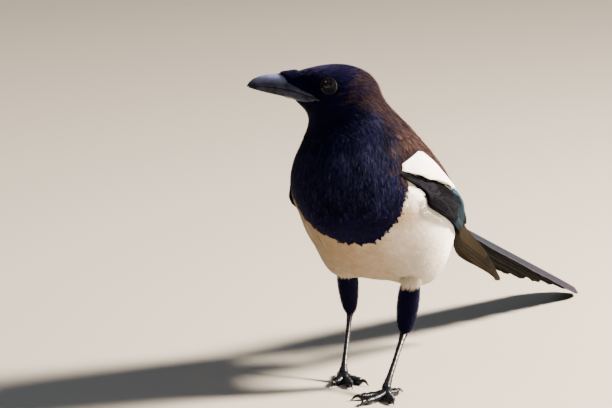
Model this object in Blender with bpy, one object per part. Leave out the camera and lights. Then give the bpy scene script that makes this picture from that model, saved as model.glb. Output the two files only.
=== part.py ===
"""Eurasian magpie, life size, standing still with its head turned to its right.

Drawn in millimetres with the bird facing -Y, its left at +X and the floor at
z = 0, then set in metres over the bottom centre of its bounding box.
"""
import math
import bpy
import bmesh
import numpy as np

MM = 0.001                      # metres in a millimetre
GAP = 0.3                       # kept between neighbouring pieces
ROUND = 24                      # points round the body
EYES_AT = (-12.0, -24.4, 183.4)  # midway between the eyes
HEAD_YAW = 66.0                 # degrees the head turns to the bird's right
HEAD_CUT = 20.0                 # front of the head, measured ahead of the eyes
BILL_TIP = 46.4                 # ahead of the eyes
GAPE = 6.5                      # corner of the mouth, ahead of the eyes
EYE_OUT = 11.0                  # eye centre, out from the head's middle
EYE_RADIUS = 4.8
LID_RADIUS = 3.95
THROAT = (15.0, 0.0, -33.0)     # hinge of the neck's planes, in the head
BACK = (0.0, 100.0, 151.8)      # hinge of the trunk's planes
TAIL_ROOT = (0.0, 96.0, 91.0)
TAIL_DROP = 20.3                # degrees below level
TAIL_LENGTH = 250.0
TAIL_ROLL = 27.0                # left edge lower
TAIL_FLAT = 12.0                # half width of the flat top of the tail
RECTRICES = ((1.5, 12.0, 1.0), (3.0, 11.8, 0.89), (4.8, 11.8, 0.79),
             (8.0, 12.0, 0.69), (11.0, 11.5, 0.59), (13.0, 11.0, 0.49))
TRUNK = (((0, -17.8, 125.2), (33.2, 33.2, 28.9), 0, 30),
         ((0, 20, 105.4), (52.9, 38.6, 32.1), 36, 30),
         ((0, 22.1, 101), (33.8, 39.6, 33), 20, 24),
         ((0, 22.2, 126.3), (45.1, 24.5, 10.9), 48, 22),
         ((24.3, 19.3, 79.8), (18, 16.5, 18.8), 20, 10),
         ((-22.7, 23.5, 78.1), (14.7, 11.9, 15.7), 20, 10),
         ((0, 62, 95), (46, 23, 17), 20, 26),
         ((0, 92, 88), (32, 13, 8.5), 20, 10))
VANE = 0.6                      # thickness of a feather vane
WING_FROM = (0.0, -30.0, 122.0)  # inner end of the line a wing lies round
WING_DROP = 24.2
WING_TIP = 193.0
CLEAR = 0.35                    # wing above the coat
FEET = {"R": dict(knee=(-22.6, 26.0, 64.0), ankle=(-30.2, 46.0, 37.5),
                  foot=(-23.5, 23.5, 6.2),
                  toes=((3, 20), (36, 25), (69, 21), (-148, 19)),
                  thigh=(6.0, 5.9, 5.3, 4.2, 3.3), stout=1.05),
        "L": dict(knee=(24.2, 10.0, 64.0), ankle=(14.9, 23.9, 33.3),
                  foot=(18.0, -10.0, 7.0),
                  toes=((-47, 22), (-9, 28.5), (35, 21.5), (172, 19)),
                  thigh=(5.6, 6.2, 6.0, 4.8, 3.3), stout=1.25)}

BLACK = (0.012, 0.012, 0.018)
MATERIALS = {
    "plumage_black": (BLACK, 0.55), "plumage_white": ((0.80, 0.78, 0.74), 0.8),
    "plumage_blue": ((0.015, 0.03, 0.07), 0.35),
    "tail_green": ((0.02, 0.035, 0.035), 0.35),
    "bill": ((0.02, 0.02, 0.025), 0.3), "eye": ((0.01, 0.008, 0.007), 0.05),
    "leg": ((0.015, 0.015, 0.02), 0.35), "claw": ((0.02, 0.018, 0.018), 0.25)}


def rot(yaw, pitch=0.0):
    """Columns forward, left and up of a piece turned right by yaw."""
    y, p = math.radians(yaw), math.radians(pitch)
    f = np.array([-math.sin(y) * math.cos(p), -math.cos(y) * math.cos(p),
                  math.sin(p)])
    left = np.array([math.cos(y), -math.sin(y), 0.0])
    return np.stack([f, left, np.cross(f, left)], 1)


HEAD = rot(HEAD_YAW)


def head(a, b, c):
    """Point a ahead, b left and c up of the middle between the eyes."""
    return np.array(EYES_AT) + HEAD @ np.array([a, b, c], float)


def ellipsoid(p, centre, radii, frame):
    q = (p - np.array(centre)) @ frame
    r = np.array(radii, float)
    k0 = np.linalg.norm(q / r, axis=-1)
    k1 = np.linalg.norm(q / (r * r), axis=-1)
    return k0 * (k0 - 1.0) / np.maximum(k1, 1e-9)


def cone(p, a, b, ra, rb):
    a, b = np.array(a, float), np.array(b, float)
    t = np.clip(((p - a) @ (b - a)) / ((b - a) @ (b - a)), 0, 1)
    return np.linalg.norm(p - a - t[..., None] * (b - a), axis=-1) \
        - (ra + (rb - ra) * t)


def smin(a, b, k):
    """Smaller of two distances, rounded over k."""
    h = np.maximum(k - np.abs(a - b), 0) / k
    return np.minimum(a, b) - h * h * k * 0.25


def body(p):
    """Signed distance to the coat's outside."""
    d = ellipsoid(p, head(-5, 0, -5), (20.1, 16, 11.9), HEAD)
    d = smin(d, ellipsoid(p, head(9, 0, -2.2), (17.5, 9, 9.6), HEAD), 9)
    d = smin(d, cone(p, head(-10, 0, -10.5), (1.4, -12.9, 148.1), 13.6,
                     17.4), 18)
    for centre, radii, pitch, blend in TRUNK:
        d = smin(d, ellipsoid(p, centre, radii, rot(0, pitch)), blend)
    return d


def cast(start, ray, field, level=0.0):
    """Points where rays from inside meet the field at a level."""
    start, ray = np.broadcast_arrays(np.array(start, float), ray)
    t = np.zeros(ray.shape[:-1])
    for _ in range(90):
        t = t + (level - field(start + ray * t[..., None])) * 0.75
    return start + ray * t[..., None]


def mesh_object(name, verts, faces, slot, fix=True):
    """Object from points in mm, its faces turned outward."""
    data = bpy.data.meshes.new(name)
    data.from_pydata([tuple(float(c) * MM for c in v) for v in verts], [],
                     faces)
    if fix:
        bm = bmesh.new()
        bm.from_mesh(data)
        bmesh.ops.recalc_face_normals(bm, faces=bm.faces)
        if bm.calc_volume(signed=True) < 0:
            bmesh.ops.reverse_faces(bm, faces=bm.faces)
        bm.to_mesh(data)
        bm.free()
    obj = bpy.data.objects.new(name, data)
    bpy.context.scene.collection.objects.link(obj)
    if slot:
        data.materials.append(material(slot))
    return obj


def material(slot):
    """The Principled material of a slot, made once."""
    found = bpy.data.materials.get(slot)
    if found:
        return found
    colour, rough = MATERIALS[slot]
    mat = bpy.data.materials.new(slot)
    mat.use_nodes = True
    shader = mat.node_tree.nodes["Principled BSDF"]
    shader.inputs["Base Color"].default_value = (*colour, 1)
    shader.inputs["Roughness"].default_value = rough
    shader.inputs["Metallic"].default_value = 0.0
    mat.diffuse_color = (*colour, 1)
    return mat


def loft(name, rings, slot):
    """Closed body through rings of like count, flat at both ends."""
    n = len(rings[0])
    verts = [p for ring in rings for p in ring]
    faces = []
    for i in range(len(rings) - 1):
        for j in range(n):
            k = (j + 1) % n
            faces.append((i * n + j, i * n + k, (i + 1) * n + k,
                          (i + 1) * n + j))
    for i in (0, len(rings) - 1):
        verts.append(np.mean(rings[i], axis=0))
        faces += [(i * n + j, i * n + (j + 1) % n, len(verts) - 1)
                  for j in range(n)]
    return mesh_object(name, verts, faces, slot)


def sheet(name, top, bottom, slot=None):
    """Closed thin piece from two grids of points, split alike."""
    n, m = len(top), len(top[0])
    verts = [p for row in top for p in row] + [p for row in bottom
                                               for p in row]
    low = n * m
    faces = []
    for i in range(n - 1):
        for j in range(m - 1):
            a, b = i * m + j, i * m + j + 1
            c, d = b + m, a + m
            faces += [(a, b, c), (a, c, d)]
            faces += [(low + a, low + c, low + b), (low + a, low + d, low + c)]
    rim = [j for j in range(m)] + [i * m + m - 1 for i in range(1, n)]
    rim += [(n - 1) * m + j for j in range(m - 2, -1, -1)]
    rim += [i * m for i in range(n - 2, 0, -1)]
    for a, b in zip(rim, rim[1:] + rim[:1]):
        faces += [(a, low + b, b), (a, low + a, low + b)]
    return mesh_object(name, verts, faces, slot)


def keep_largest(obj):
    """Leave only the largest closed surface of an object."""
    bm = bmesh.new()
    bm.from_mesh(obj.data)
    bmesh.ops.triangulate(bm, faces=bm.faces)
    left, best = set(bm.faces), []
    while left:
        shell, edge = [], [left.pop()]
        while edge:
            face = edge.pop()
            shell.append(face)
            for e in face.edges:
                for f in e.link_faces:
                    if f in left:
                        left.discard(f)
                        edge.append(f)
        if len(shell) > len(best):
            best = shell
    keep = set(best)
    bmesh.ops.delete(bm, geom=[f for f in bm.faces if f not in keep],
                     context="FACES")
    bm.to_mesh(obj.data)
    bm.free()


def combine(obj, pieces, how="UNION", solver="EXACT"):
    """Join pieces to an object, or cut them from it, in one Boolean."""
    group = bpy.data.collections.new(obj.name + "_pieces")
    bpy.context.scene.collection.children.link(group)
    for piece in pieces:
        bpy.context.scene.collection.objects.unlink(piece)
        group.objects.link(piece)
    mod = obj.modifiers.new("join", "BOOLEAN")
    mod.operation, mod.solver = how, solver
    mod.operand_type, mod.collection = "COLLECTION", group
    bpy.context.view_layer.update()
    graph = bpy.context.evaluated_depsgraph_get()
    made = bpy.data.meshes.new_from_object(obj.evaluated_get(graph))
    obj.modifiers.clear()
    slots = list(obj.data.materials)
    obj.data = made
    made.materials.clear()
    for slot in slots[:1]:
        made.materials.append(slot)
    made.polygons.foreach_set("material_index", [0] * len(made.polygons))
    for piece in pieces:
        bpy.data.objects.remove(piece)
    bpy.data.collections.remove(group)
    keep_largest(obj)


def station(kind, at):
    """Centre, normal, dorsal and left directions of one body plane."""
    up = np.array([0.0, 0.0, 1.0])
    if kind == "face":
        return head(at, 0, -2.5), -HEAD[:, 0], up, HEAD[:, 1]
    if kind == "neck":
        a = math.radians(at)
        out = math.cos(a) * up - math.sin(a) * HEAD[:, 0]
        normal = -math.sin(a) * up - math.cos(a) * HEAD[:, 0]
        f = at / 90
        twist = math.radians(HEAD_YAW) * f * f * (3 - 2 * f)
        side = HEAD[:, 1]
        centre = head(*THROAT) + out * (30 + 3 * f) - side * 7 * f * f
        return (centre, normal, math.cos(twist) * out - math.sin(twist) * side,
                math.cos(twist) * side + math.sin(twist) * out)
    bend = math.radians(min(at, 70))
    out = np.array([0, -math.cos(bend), -math.sin(bend)])
    normal = np.array([0, math.sin(bend), -math.cos(bend)])
    reach = np.interp(at, (0, 15, 30, 40, 50, 60, 70),
                      (111, 112, 98, 85, 74, 67, 62))
    centre = np.array(BACK) + out * reach + normal * max(at - 70, 0)
    return centre, normal, -out, np.array([1.0, 0, 0])


def ring(kind, at, shift=0.0, field=body):
    """Points of the coat on one plane, slid along its normal."""
    centre, normal, dorsal, left = station(kind, at)
    angle = np.linspace(0, 2 * math.pi, ROUND, endpoint=False)
    rays = np.outer(np.cos(angle), dorsal) + np.outer(np.sin(angle), left)
    return cast(centre + normal * shift, rays, field)


def trunk(name, planes, slot):
    """One length of the body, kept off its neighbours by half a gap."""
    rings = [ring(k, a) for k, a in planes]
    rings[0] = ring(*planes[0], GAP / 2)
    rings[-1] = ring(*planes[-1], -GAP / 2)
    return loft(name, rings, slot)


def tube(name, path, radii, sides=6, slot=None, floor=False, flat=1.0):
    """Tapered tube along a path, on the floor if asked."""
    path = [np.array(p, float) for p in path]
    rings = []
    side = np.cross(path[1] - path[0], (0, 0, 1.0))
    if np.linalg.norm(side) < 1e-3:
        side = np.array([1.0, 0, 0])
    for i, p in enumerate(path):
        along = path[min(i + 1, len(path) - 1)] - path[max(i - 1, 0)]
        along /= np.linalg.norm(along)
        side = side - along * (side @ along)
        side /= np.linalg.norm(side)
        over = np.cross(side, along)
        turn = [2 * math.pi * (j + 0.5) / sides for j in range(sides)]
        row = [p + radii[i] * (math.cos(t) * side + flat * math.sin(t) * over)
               for t in turn]
        if floor:
            row = [np.array([q[0], q[1], max(q[2], 0.0)]) for q in row]
        rings.append(row)
    return loft(name, rings, slot)


def culmen(a):
    return np.interp(a, (12, 18.5, 22.5, 26.5, 34.6, 38.6, 42.6, 45.2, 46.4),
                     (6.9, 6.4, 5.6, 5.0, 4.4, 3.5, 1.9, -0.4, -2.4))


def gonys(a):
    return np.interp(a, (12, 18.5, 22.5, 27.3, 34.6, 40.6, 45.5),
                     (-10.6, -10.0, -9.1, -7.9, -6.3, -4.7, -3.2))


def mouth(a):
    return np.interp(a, (6, 14, 20, 26, 32.5, 40, 46.4),
                     (-7.6, -5.6, -4.2, -3.0, -2.2, -2.1, -2.8))


def bill_half(a):
    return np.interp(a, (12, 20, 26, 34, 40, 44, 46.4),
                     (7.0, 6.4, 5.5, 3.9, 2.7, 1.6, 0.5))


def make_bill():
    """Upper and lower bill with the line of the mouth between them."""
    for upper in (True, False):
        end = BILL_TIP if upper else BILL_TIP - 1.2
        rings = []
        for a in np.linspace(HEAD_CUT + GAP, end, 9):
            cm = mouth(a) + (GAP / 2 if upper else -GAP / 2)
            edge = culmen(a) if upper else gonys(a)
            edge = max(edge, cm + 0.35) if upper else min(edge, cm - 0.35)
            w = bill_half(a) * (1.0 if upper else 0.93)
            row = []
            for t in np.linspace(0, math.pi, 9):
                x, y = math.cos(t), math.sin(t)
                row.append(head(a, w * x, cm + (edge - cm) * y ** 0.85))
            row.append(head(a, 0, cm))
            rings.append(row)
        loft("bill_upper" if upper else "bill_lower", rings, "bill")


def make_head():
    """Head with its lids, bristles over the nostrils and gape."""
    planes = [("face", a) for a in (HEAD_CUT, 18.5, 16.5)]
    planes += [("neck", a) for a in (0, 7, 14, 21, 28, 35, 42, 49, 56)]
    obj = trunk("head", planes, "plumage_black")
    adds = []
    for side in (1, -1):
        lid = []
        for t in np.linspace(0, 2 * math.pi, 14, endpoint=False):
            ct, st = math.cos(t), math.sin(t)
            hit = cast(head(LID_RADIUS * ct, 0, LID_RADIUS * st),
                       HEAD[:, 1] * side, body)
            lid.append((hit, ct, st))
        rings = []
        for hit, ct, st in lid:
            out, away = HEAD[:, 1] * side, HEAD @ np.array([ct, 0, st])
            rings.append([hit + 0.85 * (math.cos(u) * away + math.sin(u)
                                        * out) - 0.1 * out
                          for u in np.linspace(0, 2 * math.pi, 5,
                                               endpoint=False)])
        adds.append(hoop("lid", rings))
        for k in range(4):
            wide = (1.1 + 1.4 * k) * side
            path, radii = [], []
            for s in np.linspace(0, 1, 5):
                a = 15.0 + (15.5 - 1.9 * k) * s
                w = bill_half(a) * 0.999
                b = wide * (1 - 0.12 * s)
                lift = math.sqrt(max(1 - (b / w) ** 2, 0.05))
                c = mouth(a) + (culmen(a) - mouth(a)) * lift
                r = 1.35 * (1 - s) ** 0.7 + 0.3
                out = np.array([0, (b / w) * 1.0, lift])
                out /= np.linalg.norm(out)
                rise = r + 1.25 if a > HEAD_CUT - 1 else r - 1.2
                path.append(head(a, b + out[1] * rise, c + out[2] * rise))
                radii.append(r)
            adds.append(tube("bristle", path, radii, 5))
    combine(obj, adds, solver="MANIFOLD")
    cuts = []
    for side in (1, -1):
        cuts.append(ball("socket", head(0, EYE_OUT * side, 0),
                         EYE_RADIUS + GAP, 12, 8))
        rows = []
        for a in np.linspace(GAPE, HEAD_CUT + 3, 5):
            rows.append([head(a, b * side, mouth(a) + c)
                         for b, c in ((5.0, 0), (20.0, 0.45), (20.0, -0.45))])
        cuts.append(loft("gape", rows, None))
    combine(obj, cuts, "DIFFERENCE", "MANIFOLD")
    for side, tag in ((1, "L"), (-1, "R")):
        ball("eye_" + tag, head(0, EYE_OUT * side, 0), EYE_RADIUS, 16, 10,
             "eye")


def hoop(name, rings, slot=None):
    """Closed ring-shaped body through rings."""
    n, m = len(rings), len(rings[0])
    faces = [(i * m + j, i * m + (j + 1) % m,
              ((i + 1) % n) * m + (j + 1) % m, ((i + 1) % n) * m + j)
             for i in range(n) for j in range(m)]
    return mesh_object(name, [p for r in rings for p in r], faces, slot)


def ball(name, centre, radius, around, tall, slot=None):
    """Sphere with its poles along the head's sides."""
    rings = []
    for t in np.linspace(0, math.pi, tall + 1)[1:-1]:
        rings.append([centre + radius * (HEAD @ np.array(
            [math.sin(t) * math.cos(u), math.cos(t),
             math.sin(t) * math.sin(u)]))
            for u in np.linspace(0, 2 * math.pi, around, endpoint=False)])
    obj = loft(name, rings, slot)
    poles = obj.data.vertices
    for k, s in ((len(poles) - 2, 1), (len(poles) - 1, -1)):
        poles[k].co = (centre + HEAD[:, 1] * radius * s) * MM
    return obj


WING_ALONG = np.array([0, math.cos(math.radians(WING_DROP)),
                       -math.sin(math.radians(WING_DROP))])
WING_UP = np.array([0, -WING_ALONG[2], WING_ALONG[1]])


def wing_guide(p):
    """Body rounded out to carry the folded wings to their tips."""
    a = np.array(WING_FROM) + WING_ALONG * 50
    b = np.array(WING_FROM) + WING_ALONG * WING_TIP
    return smin(body(p), cone(p, a, b, 33.5, 19), 12)


def wing_point(side, along, angle, height):
    """Points on a wing: mm along, degrees down from the back, mm out."""
    along, angle, height = np.broadcast_arrays(
        np.array(along, float), np.array(angle, float),
        np.array(height, float))
    if side < 0:
        along = along + 12 * np.clip(1 - (along + 4) / 44, 0, 1)
    t = np.radians(angle)
    ray = (np.sin(t)[..., None] * np.array([side, 0, 0])
           + np.cos(t)[..., None] * WING_UP)
    start = np.array(WING_FROM) + along[..., None] * WING_ALONG
    hit = cast(start, ray, wing_guide)
    return hit + ray * height[..., None]


SEAM = ((-4, 4, 19, 27, 39, 49, 56, 62, 72, 95, 108, 125, 200),
        (67, 68.4, 69.5, 67.5, 66.4, 67, 64, 59, 56.5, 57, 58.5, 58, 36))
LOWER = ((-4, 4, 13, 19, 22, 26, 35, 53, 70, 95, 117, 134, 165, 186, 205),
         (71, 75.5, 78, 80.5, 86, 89, 90, 90.5, 94, 99, 100.5, 99, 92, 88,
          87))
UPPER = ((-4, 5, 13, 20, 28, 38, 47, 58, 64),
         (62.5, 55.5, 49.5, 48.3, 50, 54.3, 57.6, 60.2, 61))
REACH = ((0, 50, 80, 110, 140, 170, 200), (40, 46, 40, 32, 26, 22, 18))
LOWEST = 0.75                   # vane's middle over the wing's surface


def slab(name, side, ends, low, high, thick, slot):
    """Core of a folded wing between its upper and lower edges."""
    along = np.linspace(*ends, 12)
    across = np.linspace(0, 1, 6)
    s, j = np.meshgrid(along, across, indexing="ij")
    angle = (np.interp(s, *low) * (1 - j) + np.interp(s, *high) * j)
    span = np.clip((s - ends[0]) / (ends[1] - ends[0]), 0, 1)
    crown = np.clip(4 * j * (1 - j), 0, 1) ** 0.5
    crown = crown * np.clip(span / 0.12, 0.25, 1) * np.clip(
        (1 - span) / 0.3, 0.2, 1)
    top = wing_point(side, s, angle, CLEAR + 0.9 + (thick - 0.9) * crown)
    bottom = wing_point(side, s, angle, CLEAR)
    return sheet(name, top, bottom, slot)


def wing_vane(side, root, tip, width, height, tilt, sunk, rows, below):
    """One feather on the wing from root to tip, both (along, angle).

    It keeps below the line where wing and scapulars meet, or above it.
    """
    s = np.linspace(0, 1, rows)
    j = np.array([-1.0, 0.0, 1.0])
    s2, j2 = np.meshgrid(s, j, indexing="ij")
    half = width * np.clip(0.62 + 1.1 * s2, 0, 1) * np.where(
        s2 > 0.75, np.sqrt(np.clip(1 - ((s2 - 0.75) / 0.27) ** 2, 0.02, 1)),
        1)
    along = root[0] + (tip[0] - root[0]) * s2
    turn = root[1] + (tip[1] - root[1]) * s2
    angle = turn + np.degrees(half * j2 / np.interp(along, *REACH))
    seam = np.interp(along, *SEAM)
    ramp = np.clip((along + 4) / 16, 0, 1)
    ramp = 0.1 + 0.9 * ramp * ramp * (3 - 2 * ramp)
    if below:
        angle = np.maximum(angle, seam + 1.2 + 1.5 * (j2 + 1))
        angle = np.minimum(angle, np.interp(along, *LOWER) - 1.2 * (1 - j2))
        rise = 1 - np.clip((angle - seam) / 12, 0.15, 1)
        ramp = ramp * (1 - rise * np.clip((100 - along) / 18, 0, 1))
    else:
        top_edge = np.interp(along, *UPPER)
        angle = np.minimum(angle, seam - 0.8 - 1.5 * (1 - j2))
        angle = np.maximum(angle, top_edge + 1.0 * (1 + j2))
        ramp = ramp * (0.15 + 0.85 * np.clip((angle - top_edge) / 7, 0, 1))
    lift = height - sunk * np.clip(1 - s2 / 0.3, 0, 1) + tilt * (
        j2 + 1) / 2 * (0.3 + 0.7 * s2)
    lift = LOWEST + np.maximum(lift - LOWEST, 0) * ramp
    top = wing_point(side, along, angle, lift + VANE / 2)
    bottom = wing_point(side, along, angle, lift - VANE / 2)
    return sheet("vane", top, bottom)


def make_wing(side, tag):
    """Folded wing: core, primaries, secondaries, tertials and coverts."""
    high = ((-2, 4, 19, 27, 39, 49, 56, 62, 72, 80, 90, 100, 122),
            (69.2, 70, 71, 69.2, 68, 68.5, 67, 66, 70, 74.5, 79, 82, 86))
    low = ((-2, 4, 13, 19, 22, 26, 38, 64, 100, 122),
           (70.8, 74.5, 77, 79, 84, 87.5, 88.5, 91, 97, 96))
    wing = slab("wing_" + tag, side, (-2, 122), high, low, 2.4,
                "plumage_blue")
    adds = []
    for k in range(6):
        tip = (np.interp(k, (0, 2, 5), (164, WING_TIP, 170)),
               np.interp(k, (0, 2, 5), (88, 84, 65)))
        adds.append(wing_vane(side, (64 + 1.4 * k, 91 - 0.7 * k), tip, 5.4,
                              1.0 + 0.35 * k, 0.9, 0.4, 5, True))
    for k in range(4):
        adds.append(wing_vane(side, (42, 86 - 4.5 * k),
                              (76 + 8 * k, 84 - 4.8 * k), 5.8,
                              2.6 + 0.2 * k, 1.0, 1.2, 3, True))
    for k in range(2):
        adds.append(wing_vane(side, (54, 70 - 3 * k),
                              (103 + 5 * k, 67 - 4 * k), 5.6,
                              3.4 + 0.4 * k, 0.9, 1.6, 4, True))
    for k in range(5):
        adds.append(wing_vane(side, (18, 83 - 2.6 * k),
                              (55 - 1.0 * k, 87 - 4.2 * k), 5.4,
                              3.6 + 0.1 * k, 0.9, 1.8, 3, True))
    for k in range(3):
        adds.append(wing_vane(side, (2 + k, 75 - 1.4 * k),
                              (33 - k, 84 - 4.6 * k), 4.6,
                              4.2 + 0.1 * k, 0.8, 2.6, 3, True))
    combine(wing, adds)
    low = ((-4, 4, 19, 27, 39, 49, 56, 58),
           (66.4, 67.8, 68.8, 66.9, 65.8, 66, 63, 61.8))
    pad = slab("scapulars_" + tag, side, (-4, 58), UPPER, low, 3.2,
               "plumage_white")
    middle = ((-4, 5, 13, 20, 28, 38, 47, 60), (65, 62, 59, 59, 59, 60.5,
                                                62.5, 61))
    adds = []
    for row, (x, count) in enumerate(((-2, 3), (12, 3), (28, 2))):
        for k in range(count):
            spread = (k - (count - 1) / 2) * (6.0 - 0.9 * row)
            adds.append(wing_vane(
                side, (x, np.interp(x + 8, *middle) + spread),
                (x + 30, np.interp(x + 30, *middle) + 0.6 * spread),
                4.6 - 0.4 * row, 4.0 - 0.3 * row, 0.4, 1.8, 3, False))
    combine(pad, adds)


def tail_section():
    """Places and slopes across the tail before it is rolled."""
    across = np.linspace(-32, 32, 129)
    far = np.abs(across)
    slope = np.radians(np.sign(across) * np.minimum(
        0.6 * far + 5.0 * np.maximum(far - TAIL_FLAT, 0), 52))
    x, z = (np.concatenate([[0], np.cumsum((f[1:] + f[:-1]) / 4)])
            for f in (np.cos(slope), -np.sin(slope)))
    return across, x - x[64], z - z[64], slope


SECTION = tail_section()


def tail_point(along, across, height):
    """Points of the tail: mm out, mm left of its middle, mm above."""
    drop = math.radians(TAIL_DROP)
    out = np.array([0, math.cos(drop), -math.sin(drop)])
    over = np.array([0, math.sin(drop), math.cos(drop)])
    along, across, height = np.broadcast_arrays(
        np.array(along, float), np.array(across, float),
        np.array(height, float))
    x, z, slope = (np.interp(across, SECTION[0], f) for f in SECTION[1:])
    x, z = x + height * np.sin(slope), z + height * np.cos(slope)
    roll = math.radians(TAIL_ROLL) * np.clip(along / 50, 0.1, 1)
    x, z = (x * np.cos(roll) + z * np.sin(roll),
            z * np.cos(roll) - x * np.sin(roll))
    return (np.array(TAIL_ROOT) + along[..., None] * out
            + x[..., None] * np.array([1.0, 0, 0]) + z[..., None] * over)


def make_tail():
    """Twelve graduated feathers overlapping on one root."""
    rings = []
    for along, wide, tall in ((9.5, 12.5, 7.2), (15, 13, 6.6), (26, 13, 4.8),
                              (42, 12, 2.8)):
        rings.append([tail_point(along, wide * math.cos(t),
                                 tall * math.sin(t) - 2.6)
                      for t in np.linspace(0, 2 * math.pi, 12,
                                           endpoint=False)])
    tail = loft("tail", rings, "tail_green")
    adds = []
    for k, (centre, half, reach) in enumerate(RECTRICES):
        for side in (1, -1):
            rows = 6 if k < 3 else 5
            s, j = np.meshgrid(np.linspace(0, 1, rows), (-1.0, 0.0, 1.0),
                               indexing="ij")
            end = np.clip((s - 0.86) / 0.145, 0, 1)
            wide = half * np.clip(0.6 + 2.0 * s, 0, 1) * np.sqrt(
                np.clip(1 - end ** 2, 0.03, 1))
            mid = side * centre * np.clip(0.4 + 1.2 * s, 0, 1)
            along = 13 + (TAIL_LENGTH * reach - 13) * s
            high = (-0.95 * k + (0.5 if side > 0 else 0.0)
                    - 0.55 * j * side * 0.6 - 0.4)
            adds.append(sheet(
                "vane", tail_point(along, mid + wide * j, high + VANE / 2),
                tail_point(along, mid + wide * j, high - VANE / 2)))
    combine(tail, adds)


def unit(v):
    return np.array(v, float) / np.linalg.norm(v)


def make_leg(tag):
    """Feathered thigh, scaled shank, four toes and their claws."""
    leg = FEET[tag]
    knee, ankle, foot = (np.array(leg[k]) for k in ("knee", "ankle", "foot"))
    axis = unit(knee - ankle)
    side = unit(np.cross(axis, (1.0, 0.2, 0)))
    over = np.cross(side, axis)
    rings, turn = [], np.linspace(0, 2 * math.pi, 14, endpoint=False)
    spokes = np.outer(np.cos(turn), side) + np.outer(np.sin(turn), over)
    length = np.linalg.norm(knee - ankle)
    for f, r in ((9, 0.12), (9, 0.55), (9, 1.0), (0.72, 1), (0.5, 2),
                 (0.25, 3), (0.06, 4)):
        wide = leg["thigh"][0] * r if f > 1 else leg["thigh"][r]
        row = ankle[None] + spokes * wide
        t = np.full(len(row), length * 0.5)
        for _ in range(90):
            t = t + (body(row + axis * t[:, None]) - GAP - 0.1) * 0.6
        t = np.minimum(t, length + 4)
        if f < 1:
            t = np.minimum(t - 1.5 * f, length * f)
        rings.append(row + axis * t[:, None])
    loft("thigh_" + tag, rings, "plumage_black")
    down = unit(foot - ankle)
    shank = np.linalg.norm(foot - ankle)
    path = [ankle + axis * (length * 0.06 - GAP), ankle, ankle + down * 2.4]
    radii = [2.3, 2.5, 1.9]
    for f, r in ((0.2, 1.35), (0.5, 1.2), (0.8, 1.4), (0.9, 1.8)):
        path.append(ankle + down * shank * f)
        radii.append(r * leg["stout"])
    path.append(foot - down * (1.8 + GAP))
    radii.append(2.3)
    tube("tarsus_" + tag, path, radii, 10, "leg")
    base = np.array([foot[0], foot[1], 0.0])
    lift = np.array([0, 0, 1.0])
    palm = tube("foot_" + tag, [foot - down * 1.8, foot - down * 0.6,
                                base + lift * 3.2, base + lift * 1.4],
                (2.4, 2.8, 3.0, 1.8), 10, "leg")
    adds = []
    names = ("inner", "middle", "outer", "hind")
    if tag == "R":
        names = ("outer", "middle", "inner", "hind")
    for name, (angle, reach) in zip(names, leg["toes"]):
        h = math.radians(angle)
        ahead = np.array([math.sin(h), -math.cos(h), 0.0])
        claw = 7.5 if name != "hind" else 9.0
        toe = reach - claw * 0.86
        path, radii = [], []
        for f, z, r in ((0.0, 3.6, 1.8), (0.22, 2.9, 2.1), (0.4, 2.3, 1.9),
                        (0.58, 2.1, 2.3), (0.72, 2.0, 1.8),
                        (0.86, 2.0, 2.2), (1.0, 2.1, 1.5)):
            path.append(base + ahead * (0.6 + (toe - 0.6) * f) + lift * z)
            radii.append(r)
        adds.append(tube("toe", path, radii, 8, None, True))
        path, radii = [], []
        for f in np.linspace(0, 1, 6):
            arc = claw * 0.86 * f
            rise = 2.1 + 1.0 * math.sin(math.pi * min(f * 1.15, 1.0)) \
                - 1.6 * f ** 2.2
            path.append(base + ahead * (toe + GAP + 0.35 + arc)
                        + lift * rise)
            radii.append(1.3 * (1 - f) ** 0.8 + 0.22)
        tube("claw_%s_%s" % (name, tag), path, radii, 7, "claw")
    combine(palm, adds, solver="MANIFOLD")


def build():
    """Every piece in order, then the whole set over its box."""
    for obj in list(bpy.data.objects):
        bpy.data.objects.remove(obj)
    make_head()
    make_bill()
    trunk("neck", [("neck", a) for a in (56, 64, 72, 81, 90)]
          + [("trunk", 6)], "plumage_black")
    trunk("breast", [("trunk", a) for a in (6, 12, 18, 24, 30)],
          "plumage_black")
    trunk("belly", [("trunk", a) for a in (30, 36, 42, 48, 54, 60)],
          "plumage_white")
    trunk("rump", [("trunk", a) for a in (60, 65, 70, 77, 84, 90, 96)],
          "plumage_black")
    for side, tag in ((1, "L"), (-1, "R")):
        make_wing(side, tag)
        make_leg(tag)
    make_tail()
    low, high = np.full(3, 1e9), np.full(3, -1e9)
    for obj in bpy.data.objects:
        for v in obj.data.vertices:
            low, high = np.minimum(low, v.co), np.maximum(high, v.co)
    shift = np.array([(low[0] + high[0]) / 2, (low[1] + high[1]) / 2, low[2]])
    for obj in bpy.data.objects:
        for v in obj.data.vertices:
            v.co = np.array(v.co) - shift
        middle = np.mean([v.co for v in obj.data.vertices], axis=0)
        for v in obj.data.vertices:
            v.co = np.array(v.co) - middle
        obj.location = middle


build()
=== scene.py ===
"""Eurasian magpie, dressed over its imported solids.

Shapes are drawn in millimetres in the bird's own space: it faces -Y, its
left is +X, the floor is z = 0 and the origin lies between its feet. The
``Place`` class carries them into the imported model's frame, in metres.
"""
from __future__ import annotations

import logging
import math
from dataclasses import dataclass, field
from enum import Enum
from typing import Callable, Sequence

import bpy
import numpy as np
from mathutils import Matrix, Vector


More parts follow.
